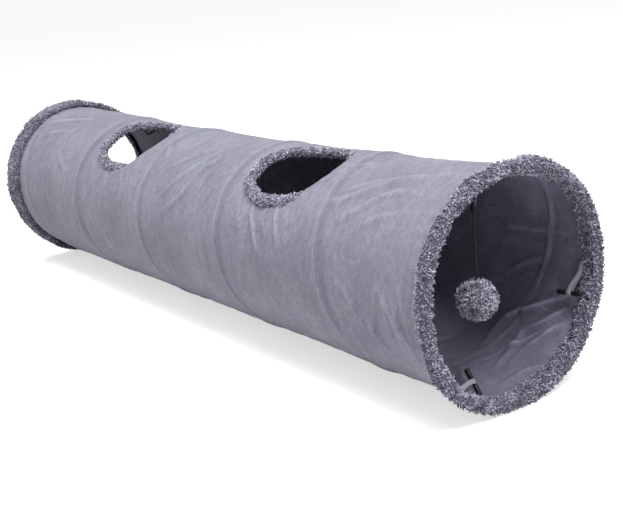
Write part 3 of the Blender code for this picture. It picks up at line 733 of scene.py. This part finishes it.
def sleeveDepth(back, angle):  # of the suede's face under the plain wall, below 0 where it stands out
    rise = sleeve["waves"] * ripples(back, angle, seed=3, count=12, around=5, along=7)
    rise = rise + sleeve["hoops"] * ripples(back, angle, seed=11, count=16, around=3, along=45)
    free = np.minimum(back - sleeve["frontCover"], wall["length"] - sleeve["rearCover"] - back)
    beside = np.exp(-np.clip(free, 0, None) / sleeve["puckerReach"])
    sway = sleeve["puckerSway"] * ripples(0 * back, angle, seed=5, count=7, around=9, along=1)
    puckers = np.sin(np.radians(angle) * sleeve["puckerCount"] + sway)
    rise = rise * (1 - beside) + sleeve["puckerHeight"] * beside * puckers
    rise = rise + sleeve["foldScale"] * foldHeight(back, angle, sleeve["folds"])
    toSeam = wall["radius"] * np.radians(wrapped(angle - sleeve["seamAngle"]))
    rise = rise - sleeve["seamDepth"] * np.exp(-((toSeam / sleeve["seamWidth"]) ** 2))
    return -np.maximum(rise, -sleeve["deepestDip"]) * (1 - smooth(-free / sleeve["coverFade"]))


def crestPaintedLight(back, angle):  # painted highlight over the wire, painted shade just in front of it
    off = fromWire(back, angle)
    crest = 0.15 * np.exp(-np.abs(off) / 0.004) - 0.20 * np.exp(-(((off + 0.009) / 0.007) ** 2))
    return crest * (1 - nearRim(back, 0.1))


def makeSleeve():
    even = np.linspace(wall["start"], wall["length"] - wall["start"], 2000)
    crowd = np.cumsum(np.interp(even, sleeve["crowdingBacks"], sleeve["crowding"]))
    backs = np.interp(np.linspace(crowd[0], crowd[-1], sleeve["rows"]), crowd, even)
    skins = (0.0, sleeve["thickness"])
    return makeCloth(
        "suedeSleeve", sleeve, backs, sleeveDepth, skins, suede, "sleeve_bay", crestPaintedLight,
    )


# Crest that the wire rubs along the suede, half sunk in it; its paler suede and added tone are a painted
# highlight
ridge = {
    "width": 0.0026, "height": 0.00030, "seat": 0.00015, "sunk": 0.0007, "inset": 0.050, "rear": 0.004,
    "perTurn": 240, "paintedLight": 0.05,
}


def helixCourse(perTurn, front=0.0, rear=0.0):  # the wire between its two rings, as (back, angle)
    span = 360 * (wall["length"] - 2 * wire["ringInset"]) / wire["pitch"] + 2 * wire["runIn"]
    by = np.linspace(0, span, round(span / 360 * perTurn) + 1)

    def placed(turned):
        runIn = wire["runIn"] * (1 - np.exp(-turned / wire["runIn"]))
        return wire["ringInset"] + wire["pitch"] * (turned - runIn) / 360

    even = np.where(by <= span / 2, placed(by), wall["length"] - placed(span - by))
    angle = wire["ringAngle"] - by
    back = even + wireLean(even, angle)
    shown = (back > front) & (back < wall["length"] - rear)
    return back[shown], angle[shown]


def alongWall(back, angle, offsets, depths):  # sections across a course, each point (offset, depth)
    return np.stack([wallPoints(back + off, angle, depth) for off, depth in zip(offsets, depths)], 1)


def makeRidge():
    back, angle = helixCourse(ridge["perTurn"], ridge["inset"], sleeve["rearCover"] + ridge["rear"])
    fade = smooth(np.arange(len(back)) / 40) * smooth(np.arange(len(back))[::-1] / 30)
    half = ridge["width"] / 2
    offsets, depths = [], []
    for turn in np.linspace(0, np.pi, 7):
        offsets.append(half * math.cos(turn))
        proud = ridge["height"] * math.sin(turn) * fade
        depths.append(sleeveDepth(back + offsets[-1], angle) - proud + ridge["seat"])
    for off in (-half, half):
        offsets.append(off)
        depths.append(sleeveDepth(back + off, angle) + ridge["sunk"])
    sewn("wireRidge", alongWall(back, angle, offsets, depths), suedeHighlight, paintedLight=ridge["paintedLight"])


# Lining, with the tape channel that holds the wire to it
liner = {
    "columns": 320,
    "rows": 241,
    "frontRows": 0.36,  # less of 1 brings more of the rows to the front mouth
    "depth": 0.0021,
    "thickness": 0.0004,
    "start": 0.0205,
    "rearReach": 0.0035,
    "frontHeld": 0.026,
    "rearHeld": 0.022,
    "heldFade": 0.012,
    "waves": 0.0013,
    # how strongly the folds' painted highlight and painted shade show, and how much blurred fold height is
    # taken away for the shade
    "foldPaintedLight": 150,
    "blur": 1.0,
    "foldScale": 2.6,
    "folds": (
        (3.4, 5, 36, 341, 41, 339, 74, 331, 115, 321, 130, 308, 129, 296),
        (2.6, 4, 83, 286, 83, 293, 86, 307, 92, 316),
        (2.2, 4, 50, 322, 68, 313, 92, 300, 110, 288),
        (2.6, 4, 38, 324, 50, 318, 68, 303, 74, 290),
        (2.2, 3.6, 40, 333, 65, 322, 90, 314),
        (1.2, 4.5, 150, 10, 133, 11, 83, 12, 34, 13.5),
        (1.8, 4, 32, 300, 46, 290, 52, 276),
        (1.6, 4, 120, 280, 100, 270, 72, 264),
        (1.4, 4.5, 150, 340, 120, 350, 85, 356),
        (0.6, 5, 180, 60, 130, 48, 85, 42),
        (1.4, 4.5, 110, 84, 75, 74, 50, 70),
        (1.6, 5, 170, 300, 210, 290, 250, 296),
        (1.6, 5, 160, 322, 200, 330, 240, 326),
    ),
}


def liningDepth(back, angle):  # of the lining's outer side, under the suede's plain face
    waves = liner["waves"] * np.clip(ripples(back, angle, seed=21, count=16, around=9, along=16), 0, None)
    folds = liner["foldScale"] * foldHeight(back, angle, liner["folds"])
    free = np.minimum(back - liner["frontHeld"], wall["length"] - liner["rearHeld"] - back)
    sunk = np.clip(sleeveDepth(back, angle), 0, None)
    return liner["depth"] + sunk + (waves + folds) * smooth(free / liner["heldFade"])


def makeLining():
    share = np.linspace(0, 1, liner["rows"])
    ease = liner["frontRows"] * share + (1 - liner["frontRows"]) * share ** 2
    backs = liner["start"] + (wall["length"] - 2 * liner["start"] + liner["rearReach"]) * ease
    skins = (liner["thickness"], 0.0)
    return makeCloth("innerLining", liner, backs, liningDepth, skins, lining, "lining_bay")


casing = {
    "halfWidth": 0.0062, "top": 0.0063, "edge": 0.00024, "laid": 0.0003, "front": 0.028, "rear": 0.024,
    "perTurn": 180,
}
stitch = {
    "aside": 0.66, "climb": 0.24, "halfWidth": 0.00045, "halfHeight": 0.00032, "dip": 0.00022, "beat": 2.1,
}


def makeCasing():
    back, angle = helixCourse(casing["perTurn"], casing["front"], casing["rear"])
    half = casing["halfWidth"]
    shares = np.linspace(-1, 1, 13)
    floor = liningDepth(back, angle) + liner["thickness"]
    level = casing["top"] - floor
    depths = [floor + casing["edge"] * (1 - abs(s)) ** 0.3 + level * (1 - s * s) ** 2.5 for s in shares]
    depths += [floor - casing["laid"]] * 2
    offsets = [*half * shares, half, -half]
    sewn("casingTape", alongWall(back, angle, offsets, depths), casingCloth, "wire_casing")
    under = floor + level * stitch["climb"] + casing["laid"]
    dips = stitch["dip"] * np.sin(np.arange(len(back)) * stitch["beat"])
    turns = circle(6)
    depths = [under + stitch["halfHeight"] * rise + dips for rise in np.sin(turns)]
    for name, side in (("casingStitchFront", -1), ("casingStitchRear", 1)):
        offsets = side * half * stitch["aside"] + stitch["halfWidth"] * np.cos(turns)
        sewn(name, alongWall(back, angle, offsets, depths), threadCloth)


def makeWire():
    ring = np.arange(1, 74)
    step, drop = 5.0, wire["ringSpacing"] / 72
    back, angle = helixCourse(wire["perTurn"])
    frontRing = wire["ringInset"] - drop * ring[::-1]
    back = np.concatenate([frontRing, back, wall["length"] - wire["ringInset"] + drop * ring])
    angle = np.concatenate([wire["ringAngle"] + step * ring[::-1], angle, angle[-1] - step * ring])
    centre = wallPoints(back, angle, wire["depth"])
    along = unit(np.gradient(centre, axis=0))
    side = unit(np.cross(along, wallPoints(back, angle, wire["depth"] - 0.01) - centre))
    up = np.cross(side, along)
    radius = wire["diameter"] / 2
    sections = [centre + radius * (math.cos(turn) * side + math.sin(turn) * up) for turn in circle(8)]
    sewn("springWire", np.stack(sections, 1), springSteel, "spring_wire")


# A hidden facing behind the front cuff, which keeps the mouth whole when the sleeve folds away from it
facing = {"start": 0.010, "end": 0.052, "depth": 0.00125, "thickness": 0.0004, "columns": 240, "rows": 15}


def makeFacing():
    backs = np.linspace(facing["start"], facing["end"], facing["rows"])
    back, angle = np.meshgrid(backs, 360 * np.arange(facing["columns"]) / facing["columns"])
    depth = facing["depth"] + sleeveDepth(back, angle)
    skins = [wallPoints(back, angle, depth), wallPoints(back, angle, depth + facing["thickness"])[:, ::-1]]
    sewn("mouthFacing", np.concatenate(skins, 1), suede, closedPath=True, folds=False)


sleevePiece = makeSleeve()
makeRidge()
print("sleeve is made")
liningPiece = makeLining()
makeCasing()
makeWire()
makeFacing()
print("lining, casing and wire are made")


# Plush: short curled tufts on a dark backing, darker towards their roots: a dark undercoat, and painted shade
# down in the pile

def drifts(rng, roots, size):  # smooth random vectors over the pile
    total = np.zeros(roots.shape)
    for _ in range(9):
        waves = rng.normal(size=(3, 3)) * np.pi / size
        total += np.sin(roots @ waves + rng.uniform(0, 2 * np.pi, 3))
    return total / math.sqrt(4.5)


def tufts(rng, roots, normals, pile):  # each of three rings and a tip
    count = len(roots)
    drift = drifts(rng, roots, pile["lockSize"])
    loose = drift + pile["stray"] * rng.normal(size=(count, 3))
    loose = unit(loose - normals * (loose * normals).sum(1)[:, None])
    side = np.cross(normals, loose)
    tall = pile["length"] * rng.uniform(0.65, 1.3, count)
    wide = pile["girth"] * rng.uniform(0.8, 1.25, count)
    start = rng.uniform(0.0, pile["tilt"], count)
    bend = rng.uniform(*pile["curl"], count)

    def heading(share):
        lean = (start + bend * share)[:, None]
        return np.cos(lean) * normals + np.sin(lean) * loose

    spot = roots - normals * pile["sunk"]
    rings, before = [], 0.0
    for share, width in ((0.0, 0.9), (0.38, 1.1), (0.72, 0.75), (1.0, 0.0)):
        spot = spot + heading((before + share) / 2) * (tall * (share - before))[:, None]
        before = share
        other = np.cross(heading(share), side)
        for turn in circle(3)[:3 if width else 1]:
            across = math.cos(turn) * side + math.sin(turn) * other
            rings.append(spot + across * (wide * width)[:, None])
    quads = [(k + j, k + (j + 1) % 3, k + 3 + (j + 1) % 3, k + 3 + j) for k in (0, 3) for j in range(3)]
    tris = [(6, 7, 9), (7, 8, 9), (8, 6, 9), (0, 2, 1)]
    first = 10 * np.arange(count)[:, None, None]
    faces = [(first + np.array(kind)).reshape(-1, len(kind[0])) for kind in (quads, tris)]
    shade = 0.7 * rng.normal(size=count) + 0.7 * drifts(rng, roots, pile["lockSize"])[:, 0]
    tone = np.clip(pile["tone"] + pile["spread"] * shade, 0.08, 1.25)
    tip = np.tile([0, 0, 0, 0.45, 0.45, 0.45, 0.8, 0.8, 0.8, 1.0], count)
    return np.stack(rings, 1).reshape(-1, 3), faces, np.repeat(tone, 10), tip


def plushPiece(name, node, base, baseFaces, roots, normals, pile, material, body, leaning=False):
    points, faces, tone, tip = tufts(np.random.default_rng(pile["seed"]), roots, normals, pile)
    everything = np.vstack([base, points])
    if leaning:
        everything = leanMouth(everything)
    everything[:, 2] = np.maximum(everything[:, 2], 0.0006)  # the floor presses the pile down
    turn = -1 if volumeOf(base, baseFaces) < 0 else 1
    for k, group in enumerate(baseFaces):
        faces[k] = np.vstack([group[:, ::turn], faces[k] + len(base)])
    for k in range(len(baseFaces), 2):
        faces[k] = faces[k] + len(base)
    # the backing takes the dark root colour: the undercoat, and painted shade under the tufts
    values = {
        "tone": np.append(np.full(len(base), pile["tone"]), tone),
        "tip": np.append(np.full(len(base), 0.12), tip),
    }
    piece = makePiece(name, everything, faces, material, body, values=values)
    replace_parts(piece, node)
    return piece


# Cuffs, each a plush strip hooked over the rim
cuff = {
    "outerRadius": 0.15465,
    "innerRadius": 0.134948,
    "cavityTop": 0.1460,
    "cavityFloor": 0.13740,
    "nose": 0.0080,
    "edge": 0.0035,
    "pileDepth": 0.0026,
    "segments": 180,
    "wobble": 0.0010,
    "joinAngle": 133.0,  # where the strip's ends meet
    "joinWidth": 1.1,
    "joinDepth": 0.0030,
    "hemWobble": 0.0011,
    "hemStart": 0.009,
    "hemFade": 0.006,
    "pitch": 0.00270,
    "rootRadius": 0.1450,
}
cuffPile = {
    "length": 0.0052, "girth": 0.00100, "sunk": 0.0008, "tilt": 1.0, "curl": (0.3, 1.6),
    "lockSize": 0.009, "stray": 0.7, "tone": 0.62, "spread": 0.22, "fill": 0.7, "seed": 41,
}


def cuffSkin(outside, inside):  # the plush side of the section, from its outer hem round the nose
    outer = cuff["outerRadius"] - cuff["pileDepth"]
    inner = cuff["innerRadius"] + cuff["pileDepth"] * 0.6
    middle, half = (outer + inner) / 2, (outer - inner) / 2
    nose, edge, front = cuff["nose"], cuff["edge"], 0.4 * cuff["pileDepth"]
    skin = [(outside, cuff["cavityTop"] - 0.0014), (outside - 0.2 * edge, outer - 0.4 * edge)]
    skin.append((outside - edge, outer))
    for back in np.linspace(outside - edge, nose, 3 + round(outside / 0.004))[1:-1]:
        skin.append((back, outer + 0.0006 * math.sin(math.pi * (back - nose) / (outside - nose))))
    for turn in np.linspace(np.pi / 2, -np.pi / 2, 15):
        skin.append((front + (nose - front) * (1 - math.cos(turn)), middle + half * math.sin(turn)))
    skin += [(back, inner) for back in np.linspace(nose, inside - 0.001, 5)[1:]]
    skin += [(inside, (inner + cuff["cavityFloor"]) / 2), (inside - 0.0004, cuff["cavityFloor"] - 0.0002)]
    return np.array(skin)


def makeCuff(name, node, body, outside, inside, side, seed):  # side is 1 at the front, -1 at the rear
    skin = cuffSkin(outside, inside)
    cavity = [(cuff["nose"], cuff["cavityFloor"]), (cuff["nose"], cuff["cavityTop"])]

    def placed(back, radius, turn, out):  # out is 1 on the plush side, 0 in the cavity
        degrees = np.degrees(turn)
        swell = cuff["wobble"] * ripples(8 * back, degrees, seed, count=10, around=14, along=3)
        fromJoin = wrapped(degrees - cuff["joinAngle"]) / cuff["joinWidth"]
        swell = swell - cuff["joinDepth"] * np.exp(-(fromJoin ** 2))
        hem = cuff["hemWobble"] * ripples(0 * back, degrees, seed + 1, count=9, around=22, along=1)
        hem = hem * smooth((back - cuff["hemStart"]) / cuff["hemFade"])
        radius = radius + out * swell * np.sign(radius - wall["radius"])
        x = side * (wall["length"] / 2 - (back + out * hem))
        return np.stack([x, radius * np.cos(turn), wall["axisHeight"] + radius * np.sin(turn)], -1)

    profile = np.vstack([skin, cavity])
    out = np.append(np.ones(len(skin)), [0, 0])
    sections = placed(profile[:, 0], profile[:, 1], circle(cuff["segments"])[:, None], out)
    base, faces, _ = swept(sections, closedPath=True)

    lengths = runOf(skin)
    rng = np.random.default_rng(seed + 2)
    rows, columns = (round(run / cuff["pitch"]) for run in (lengths[-1], 2 * math.pi * cuff["rootRadius"]))
    along, around = (grid.ravel() for grid in np.indices((rows, columns)))
    around = (around + 0.5 * (along % 2) + rng.uniform(-0.4, 0.4, len(around))) * 2 * math.pi / columns
    along = np.clip((along + 0.5 + rng.uniform(-0.4, 0.4, len(along))) * lengths[-1] / rows, 0, lengths[-1])

    def skinAt(run):
        return np.stack([np.interp(run, lengths, skin[:, k]) for k in (0, 1)])

    back, radius = skinAt(along)
    ahead, rise = skinAt(along + 0.0008) - skinAt(along - 0.0008)
    size = np.hypot(ahead, rise)
    flat = -ahead / size
    normals = np.stack([-side * rise / size, flat * np.cos(around), flat * np.sin(around)], -1)
    roots = placed(back, radius, around, 1)
    pile = {**cuffPile, "seed": seed}
    plushPiece(name, node, base, faces, roots, normals, pile, plush, body, leaning=True)


makeCuff("frontCuff", "front_cuff", "front_end", 0.0155, 0.0230, 1, 50)
makeCuff("rearCuff", "rear_cuff", "rear_end", 0.0430, 0.0190, -1, 60)
print("cuffs are made")


# Windows' plush rims. Part of each roll turns in under the suede
trim = {
    "across": 0.0062,
    "high": 0.0052,
    "depth": 0.00142,
    "pitch": 0.0024,
    "step": 0.0045,
    "meanRadius": 0.0064,
    "wobble": 0.0010,
}
# each row: the turn, how far the roll lies into the hole and deeper than the suede in mm, how wide
nearRoll = (
    (0, 1, 1, 1.05), (30, 3, 0, 1.15), (60, 7, 0, 1.25), (90, 9, 0, 1.3), (115, 8.5, 1, 1.2),
    (140, 6, 4.5, 1), (160, 4, 9.5, 0.9), (225, 3, 9.5, 0.8), (245, 3, 3, 0.85), (270, 3, 4, 0.95),
    (300, 2, 5, 1.05), (330, 1.5, 3.5, 1.05), (360, 1, 1, 1.05),
)
farRoll = (
    (0, 2, 1, 1.1), (30, 4, 0, 1.15), (60, 7, 0, 1.2), (85, 8.5, 0, 1.2), (105, 7, 3.5, 1.1),
    (125, 4, 9.5, 0.9), (170, 4, 9, 0.8), (200, 6, 4.5, 0.75), (230, 3, 2, 0.8), (270, 2, 2, 0.9),
    (300, 2, 2.5, 1), (330, 2, 2.5, 1.1), (360, 2, 1, 1.1),
)
trimPile = {
    "length": 0.0046, "girth": 0.00092, "sunk": 0.0008, "tilt": 1.0, "curl": (0.3, 1.7),
    "lockSize": 0.008, "stray": 0.7, "tone": 0.76, "spread": 0.26, "fill": 0.7, "seed": 71,
}


def trimCourse(centre, turn, roll):  # its middle, the ways out of the tunnel and the hole, its half sizes
    table = np.array(roll).T / [[1], [1000], [1000], [1]]
    inwards, deeper, width = (np.interp(np.degrees(turn) % 360, table[0], row)[:, None] for row in table[1:])

    def course(by, extra):
        return wallPoints(*windowSpot(centre, turn + by), trim["depth"] + extra)

    here = course(0, 0)
    outwards = unit(course(0, -0.01) - here)
    away = unit(np.cross(course(0.01, 0) - course(-0.01, 0), outwards))
    away *= np.sign(((here - here.mean(0)) * away).sum(1))[:, None]
    wobble = trim["wobble"] * ripples(0 * turn, np.degrees(turn), seed=17, count=9, around=14, along=1)
    here = here + away * (wobble[:, None] - inwards) - outwards * deeper
    return here, outwards, away, trim["across"] * width, trim["high"] * np.sqrt(width)


def evenTurns(centre, pitch):  # turns round the outline, evenly spaced along it
    fine = np.linspace(0, 2 * np.pi, 721)
    lengths = runOf(wallPoints(*windowSpot(centre, fine), 0.0))
    count = round(lengths[-1] / pitch)
    return np.interp(np.arange(count) * lengths[-1] / count, lengths, fine)


def makeTrim(name, node, centre, table, seed):
    here, outwards, away, wide, high = trimCourse(centre, evenTurns(centre, trim["step"]), table)
    sections = [here + wide * math.cos(a) * away + high * math.sin(a) * outwards for a in circle(14)]
    base, faces, _ = swept(np.stack(sections, 1), closedPath=True)
    rng = np.random.default_rng(seed)
    course = trimCourse(centre, evenTurns(centre, trim["pitch"]), table)
    here, outwards, away, wide, high = (part[:, None] for part in course)
    count = round(2 * math.pi * trim["meanRadius"] / trim["pitch"])
    roll = 2 * np.pi * (np.arange(count) + rng.uniform(-0.45, 0.45, (len(here), count))) / count
    side, rise = np.cos(roll)[..., None], np.sin(roll)[..., None]
    normals = unit(side / wide * away + rise / high * outwards).reshape(-1, 3)
    slide = rng.uniform(-0.45, 0.45, (len(here), count, 1))
    step = np.roll(here, -1, axis=0) - here
    roots = (here + step * slide + side * wide * away + rise * high * outwards).reshape(-1, 3)
    free = side.ravel() <= 0.93  # the rest is buried in the suede
    pile = {**trimPile, "seed": seed}
    roots, normals = roots[free], normals[free]
    flatten(plushPiece(name, node, base, faces, roots, normals, pile, plush, "front_end"))


makeTrim("nearWindowTrim", "near_window_trim", window["backs"][0], nearRoll, 81)
makeTrim("farWindowTrim", "far_window_trim", window["backs"][1], farRoll, 82)
print("window rims are made")


# Ball
ball = {"radius": 0.0225, "tufts": 1700, "bare": 0.985}  # no tufts above this height, round the string
ballPile = {
    "length": 0.0054, "girth": 0.00092, "sunk": 0.0008, "tilt": 0.9, "curl": (0.3, 1.6),
    "lockSize": 0.010, "stray": 0.6, "tone": 0.62, "spread": 0.28, "fill": 0.9, "seed": 91,
}


def middleOf(node):
    return sum(np.array(corner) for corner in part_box(node)) / 2


def makeBall():
    centre = middleOf("ball")
    turns = np.linspace(0, np.pi, 25)
    profile = ball["radius"] * np.stack([-np.cos(turns), np.sin(turns)], -1)
    base, faces = turned(profile, 40, centre, (0, 0, 1))
    k = np.arange(ball["tufts"]) + 0.5
    z = 1 - 2 * k / ball["tufts"]
    turn = k * math.pi * (3 - math.sqrt(5))
    flat = np.sqrt(1 - z * z)
    normals = np.stack([flat * np.cos(turn), flat * np.sin(turn), z], -1)[z < ball["bare"]]
    plushPiece(
        "plushBall", "ball", base, faces, centre + ball["radius"] * normals, normals, ballPile, ballPlush,
        "hanging_ball",
    )


makeBall()


# Knot at the string's top, a trefoil
knotSize = {"wide": 0.0011, "swing": 0.00045, "high": 0.0011, "cord": 0.0013}


def makeKnot():
    turns = circle(60)
    wide = knotSize["wide"] + knotSize["swing"] * np.cos(3 * turns)
    points = [wide * np.cos(2 * turns), wide * np.sin(2 * turns), knotSize["high"] * np.sin(3 * turns)]
    points = middleOf("string_knot") + np.stack(points, -1)
    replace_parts(cordPiece("stringKnot", points, knotSize["cord"], "ball_hanger", True), "string_knot")


makeKnot()
print("ball is hung")


# Toggles: a doubled ribbon and a waisted bar, placed by the frame's own bars
toggle = {
    "ribbonWidth": 0.0065,
    "ribbonThickness": 0.0008,
    "pinch": 0.0004,
    "forward": (0.0080, 0.0110, 0.0100),  # the sewn end tucks under the cuff
    "steps": 22,
    "barRadius": 0.0033,
    "waistRadius": 0.0022,
    "waistLength": 0.0080,
    "barLength": 0.0360,
    "barSteps": 28,
    "rounding": 0.0016,
}


def nodePoints(name):
    return np.array([vertex.co for vertex in frame["nodes"][name].data.vertices])


def makeToggle(number, pivot):
    rod = nodePoints(f"toggle_bar_{number}")
    bar = np.linalg.svd(rod - rod.mean(0))[2][0]
    centre = rod.mean(0)
    reach = np.linalg.norm(centre - pivot)
    hang = (centre - pivot) / reach
    sewnAlong = np.array([math.copysign(1, bar[0]), 0, 0])
    fold = toggle["waistRadius"] + 0.0003

    def strand(grow):
        shares = np.linspace(0, 1, toggle["steps"], endpoint=False)
        high = toggle["pinch"] + (fold - toggle["pinch"]) * smooth(shares) + grow
        turns = np.linspace(np.pi / 2, -np.pi / 2, 11)
        out = np.stack([reach * shares, high], -1)
        bend = (reach, 0) + (fold + grow) * np.stack([np.cos(turns), np.sin(turns)], -1)
        return np.vstack([out, bend, out[::-1] * (1, -1)])

    outer, inner = strand(toggle["ribbonThickness"]), strand(0.0)
    share = outer[:, :1] / reach
    width = sewnAlong + (bar - sewnAlong) * smooth(share)
    width = unit(width - hang * (width @ hang)[:, None])
    across = np.cross(hang, width)
    bow = toggle["forward"][number - 1] * (1 - smooth((share - 0.2) / 0.8)) * (1, 0, 0)
    middle = (outer + inner) / 2
    sections = []
    for side, sheet in (
        (-0.94, outer), (0, outer), (0.94, outer), (1, middle),
        (0.94, inner), (0, inner), (-0.94, inner), (-1, middle),
    ):
        spot = pivot + hang * sheet[:, :1] + across * sheet[:, 1:] + bow
        sections.append(spot + width * side * toggle["ribbonWidth"] / 2)
    sewn(
        f"toggleRibbon{number}", np.stack(sections, 1), ribbonCloth, f"toggle_ribbon_{number}",
        body=f"toggle_{number}", folds=False,
    )

    half, waist = toggle["barLength"] / 2, toggle["waistLength"] / 2
    full, thin, round_ = toggle["barRadius"], toggle["waistRadius"], toggle["rounding"]
    profile = [(-half, 0.0), (-half, 0.0009)]
    for turn in np.linspace(np.pi / 2, 0, 6):
        profile.append((-half + round_ * (1 - math.sin(turn)), full - round_ * (1 - math.cos(turn))))
    profile += [(-half * 0.62, full * 0.97), (-waist - 0.0022, full)]
    profile += [(-waist - 0.0010, full - 0.0004), (-waist - 0.0003, thin + 0.0003), (-waist + 0.0005, thin)]
    profile += [(-along, radius) for along, radius in reversed(profile)]
    points, faces = turned(profile, toggle["barSteps"], centre, bar)
    piece = makePiece(f"toggleBar{number}", points, faces, blackPlastic, f"toggle_{number}")
    piece.data.set_sharp_from_angle(angle=math.radians(50))
    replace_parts(piece, f"toggle_bar_{number}")


for joint in frame["joints"]:
    if joint["name"].startswith("toggle_"):
        makeToggle(int(joint["name"].split("_")[1]), np.array(joint["pos_m"]))
print("toggles are made")


# Elastic loops that hold the folded tunnel shut, with the tabs sewn over their ends
loop = {
    "angles": (54.0, 172.0, 310.0),
    "reach": 0.120,
    "room": 0.140,
    "pastWire": 0.0374,
    "rearInside": 0.019,
    "halfGap": 0.0050,
    "drift": -23.0,
    "width": 0.0040,
    "thickness": 0.0013,
    "tabLength": 0.0120,
    "lift": 0.0014,
}


def loopStart(angle):  # reckoned from the turn of wire before it
    backs, angles = helixCourse(720)
    last = wall["length"] - loop["rearInside"] - loop["room"] - loop["pastWire"]
    return backs[(np.abs(wrapped(angles - angle)) < 0.26) & (backs < last)].max() + loop["pastWire"]


def makeLoop(number, angle):
    start = loopStart(angle)
    drift = math.radians(loop["drift"])

    def onLining(along, aside, level):
        back = start + along * math.cos(drift) - aside * math.sin(drift)
        arc = along * math.sin(drift) + aside * math.cos(drift)
        around = angle + np.degrees(arc / wall["radius"])
        return wallPoints(back, around, liningDepth(back, around) + liner["thickness"] + level)

    gap = loop["halfGap"]
    last = loop["reach"] - gap
    legs = np.linspace(loop["tabLength"] * 0.4, last, 40)
    turns = np.linspace(0, np.pi, 15)[1:-1]
    along = np.concatenate([legs, last + gap * np.sin(turns), legs[::-1]])
    aside = np.concatenate([np.full(40, gap), gap * np.cos(turns), np.full(40, -gap)])
    lift = loop["lift"] * np.sin(np.pi * np.clip((along - loop["tabLength"]) / last, 0, 1)) ** 2
    ahead, across = unit(np.gradient(np.stack([along, aside], -1), axis=0)).T * loop["width"] / 2
    sections = []
    for s, level in ((-0.9, 0), (0.9, 0), (1, 0.5), (0.9, 1), (0, 1.06), (-0.9, 1), (-1, 0.5)):
        level = 0.0003 + lift + level * loop["thickness"]
        sections.append(onLining(along - s * across, aside + s * ahead, level))
    sewn(
        f"elasticLoop{number}", np.stack(sections, 1), elasticBand, f"elastic_loop_{number}",
    )

    spots = np.linspace(-1, 1, 17)
    aside = spots * (gap + loop["width"])
    top = 0.0004 + loop["thickness"] + 0.0007 * (1 - spots ** 4)
    low = np.full(17, 0.0002)
    rows = []
    for share in np.linspace(0, 1, 9):
        arch = smooth(min(share, 1 - share) * 9)
        height = low + 0.0005 + (top - low - 0.0005) * (0.25 + 0.75 * arch)
        where = np.full(17, loop["tabLength"] * share)
        rows.append(np.vstack([onLining(where, aside, low), onLining(where, aside, height)[::-1]]))
    sewn(f"loopTab{number}", np.stack(rows), ribbonCloth, f"loop_tab_{number}")


for number, angle in enumerate(loop["angles"], 1):
    makeLoop(number, angle)
print("loops are sewn in")


# Ferrules, whose built shape leans with the rims, and the tape that the string hangs from, as it was built
def leanNode(node, name, body):
    corners = [list(face.vertices) for face in frame["nodes"][node].data.polygons]
    groups = [np.array([face for face in corners if len(face) == count]) for count in {*map(len, corners)}]
    piece = makePiece(name, leanMouth(nodePoints(node)), groups, crimpMetal, body)
    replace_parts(piece, node)


leanNode("front_ferrule", "frontFerrule", "front_end")
leanNode("rear_ferrule", "rearFerrule", "rear_end")
stringTab = frame["nodes"]["string_tab"]
stringTab.data.materials.clear()
stringTab.data.materials.append(blackString)


# Studio: white floor and world, one large soft lamp and a fill
studio = {
    "world": 0.40,
    "lamps": (  # name, place, side, power
        ("frontSoftbox", (1.65, -0.10, 2.75), 1.2, 80.0),
        ("rearSoftbox", (-1.0, -0.8, 2.9), 1.0, 42.0),
    ),
    "lampAim": (0, 0, 0.15),
    "floorReach": 40.0,
    "floorAlbedo": 0.86,
    "floorLift": 0.60,
}


def emptyTree(owner):
    owner.use_nodes = True
    owner.node_tree.nodes.clear()
    return owner.node_tree


def makeWorld():
    world = bpy.data.worlds.new("studio")
    bpy.context.scene.world = world
    tree = emptyTree(world)
    path = addNode(tree, "LightPath", {})
    seen = mathOf(tree, "MAXIMUM", path["Is Camera Ray"], path["Is Glossy Ray"])
    seen = mathOf(tree, "MAXIMUM", seen, path["Is Transmission Ray"])
    soft = addNode(tree, "Background", {"Color": (1, 1, 1, 1), "Strength": studio["world"]})
    white = addNode(tree, "Background", {"Color": (1, 1, 1, 1), "Strength": 1.0})
    mix = addNode(tree, "MixShader", {0: seen, 1: soft[0], 2: white[0]})
    addNode(tree, "OutputWorld", {"Surface": mix[0]})


def makeFloor():
    mesh = bpy.data.meshes.new("studioFloor")
    reach = studio["floorReach"]
    corners = [(-reach, -reach, 0), (reach, -reach, 0), (reach, reach, 0), (-reach, reach, 0)]
    mesh.from_pydata(corners, [], [(0, 1, 2, 3)])
    material = bpy.data.materials.new("paleFloor")
    tree = emptyTree(material)
    seen = addNode(tree, "LightPath", {})["Is Camera Ray"]
    plain = addNode(tree, "BsdfDiffuse", {"Color": (*[studio["floorAlbedo"]] * 3, 1)})
    lift = mathOf(tree, "MULTIPLY", seen, studio["floorLift"])
    glow = addNode(tree, "Emission", {"Color": (1, 1, 1, 1), "Strength": lift})
    both = addNode(tree, "AddShader", {0: plain[0], 1: glow[0]})
    addNode(tree, "OutputMaterial", {"Surface": both[0]})
    mesh.materials.append(material)
    addObject("studioFloor", mesh)


def makeLamp(name, place, side, power):
    data = bpy.data.lights.new(name, "AREA")
    data.shape = "SQUARE"
    data.size = side
    data.energy = power
    lamp = addObject(name, data)
    lamp.location = place
    lamp.rotation_euler = (Vector(studio["lampAim"]) - Vector(place)).to_track_quat("-Z", "Y").to_euler()


makeWorld()
makeFloor()
for lamp in studio["lamps"]:
    makeLamp(*lamp)
bpy.context.scene.view_settings.view_transform = "Standard"
print("studio is lit")
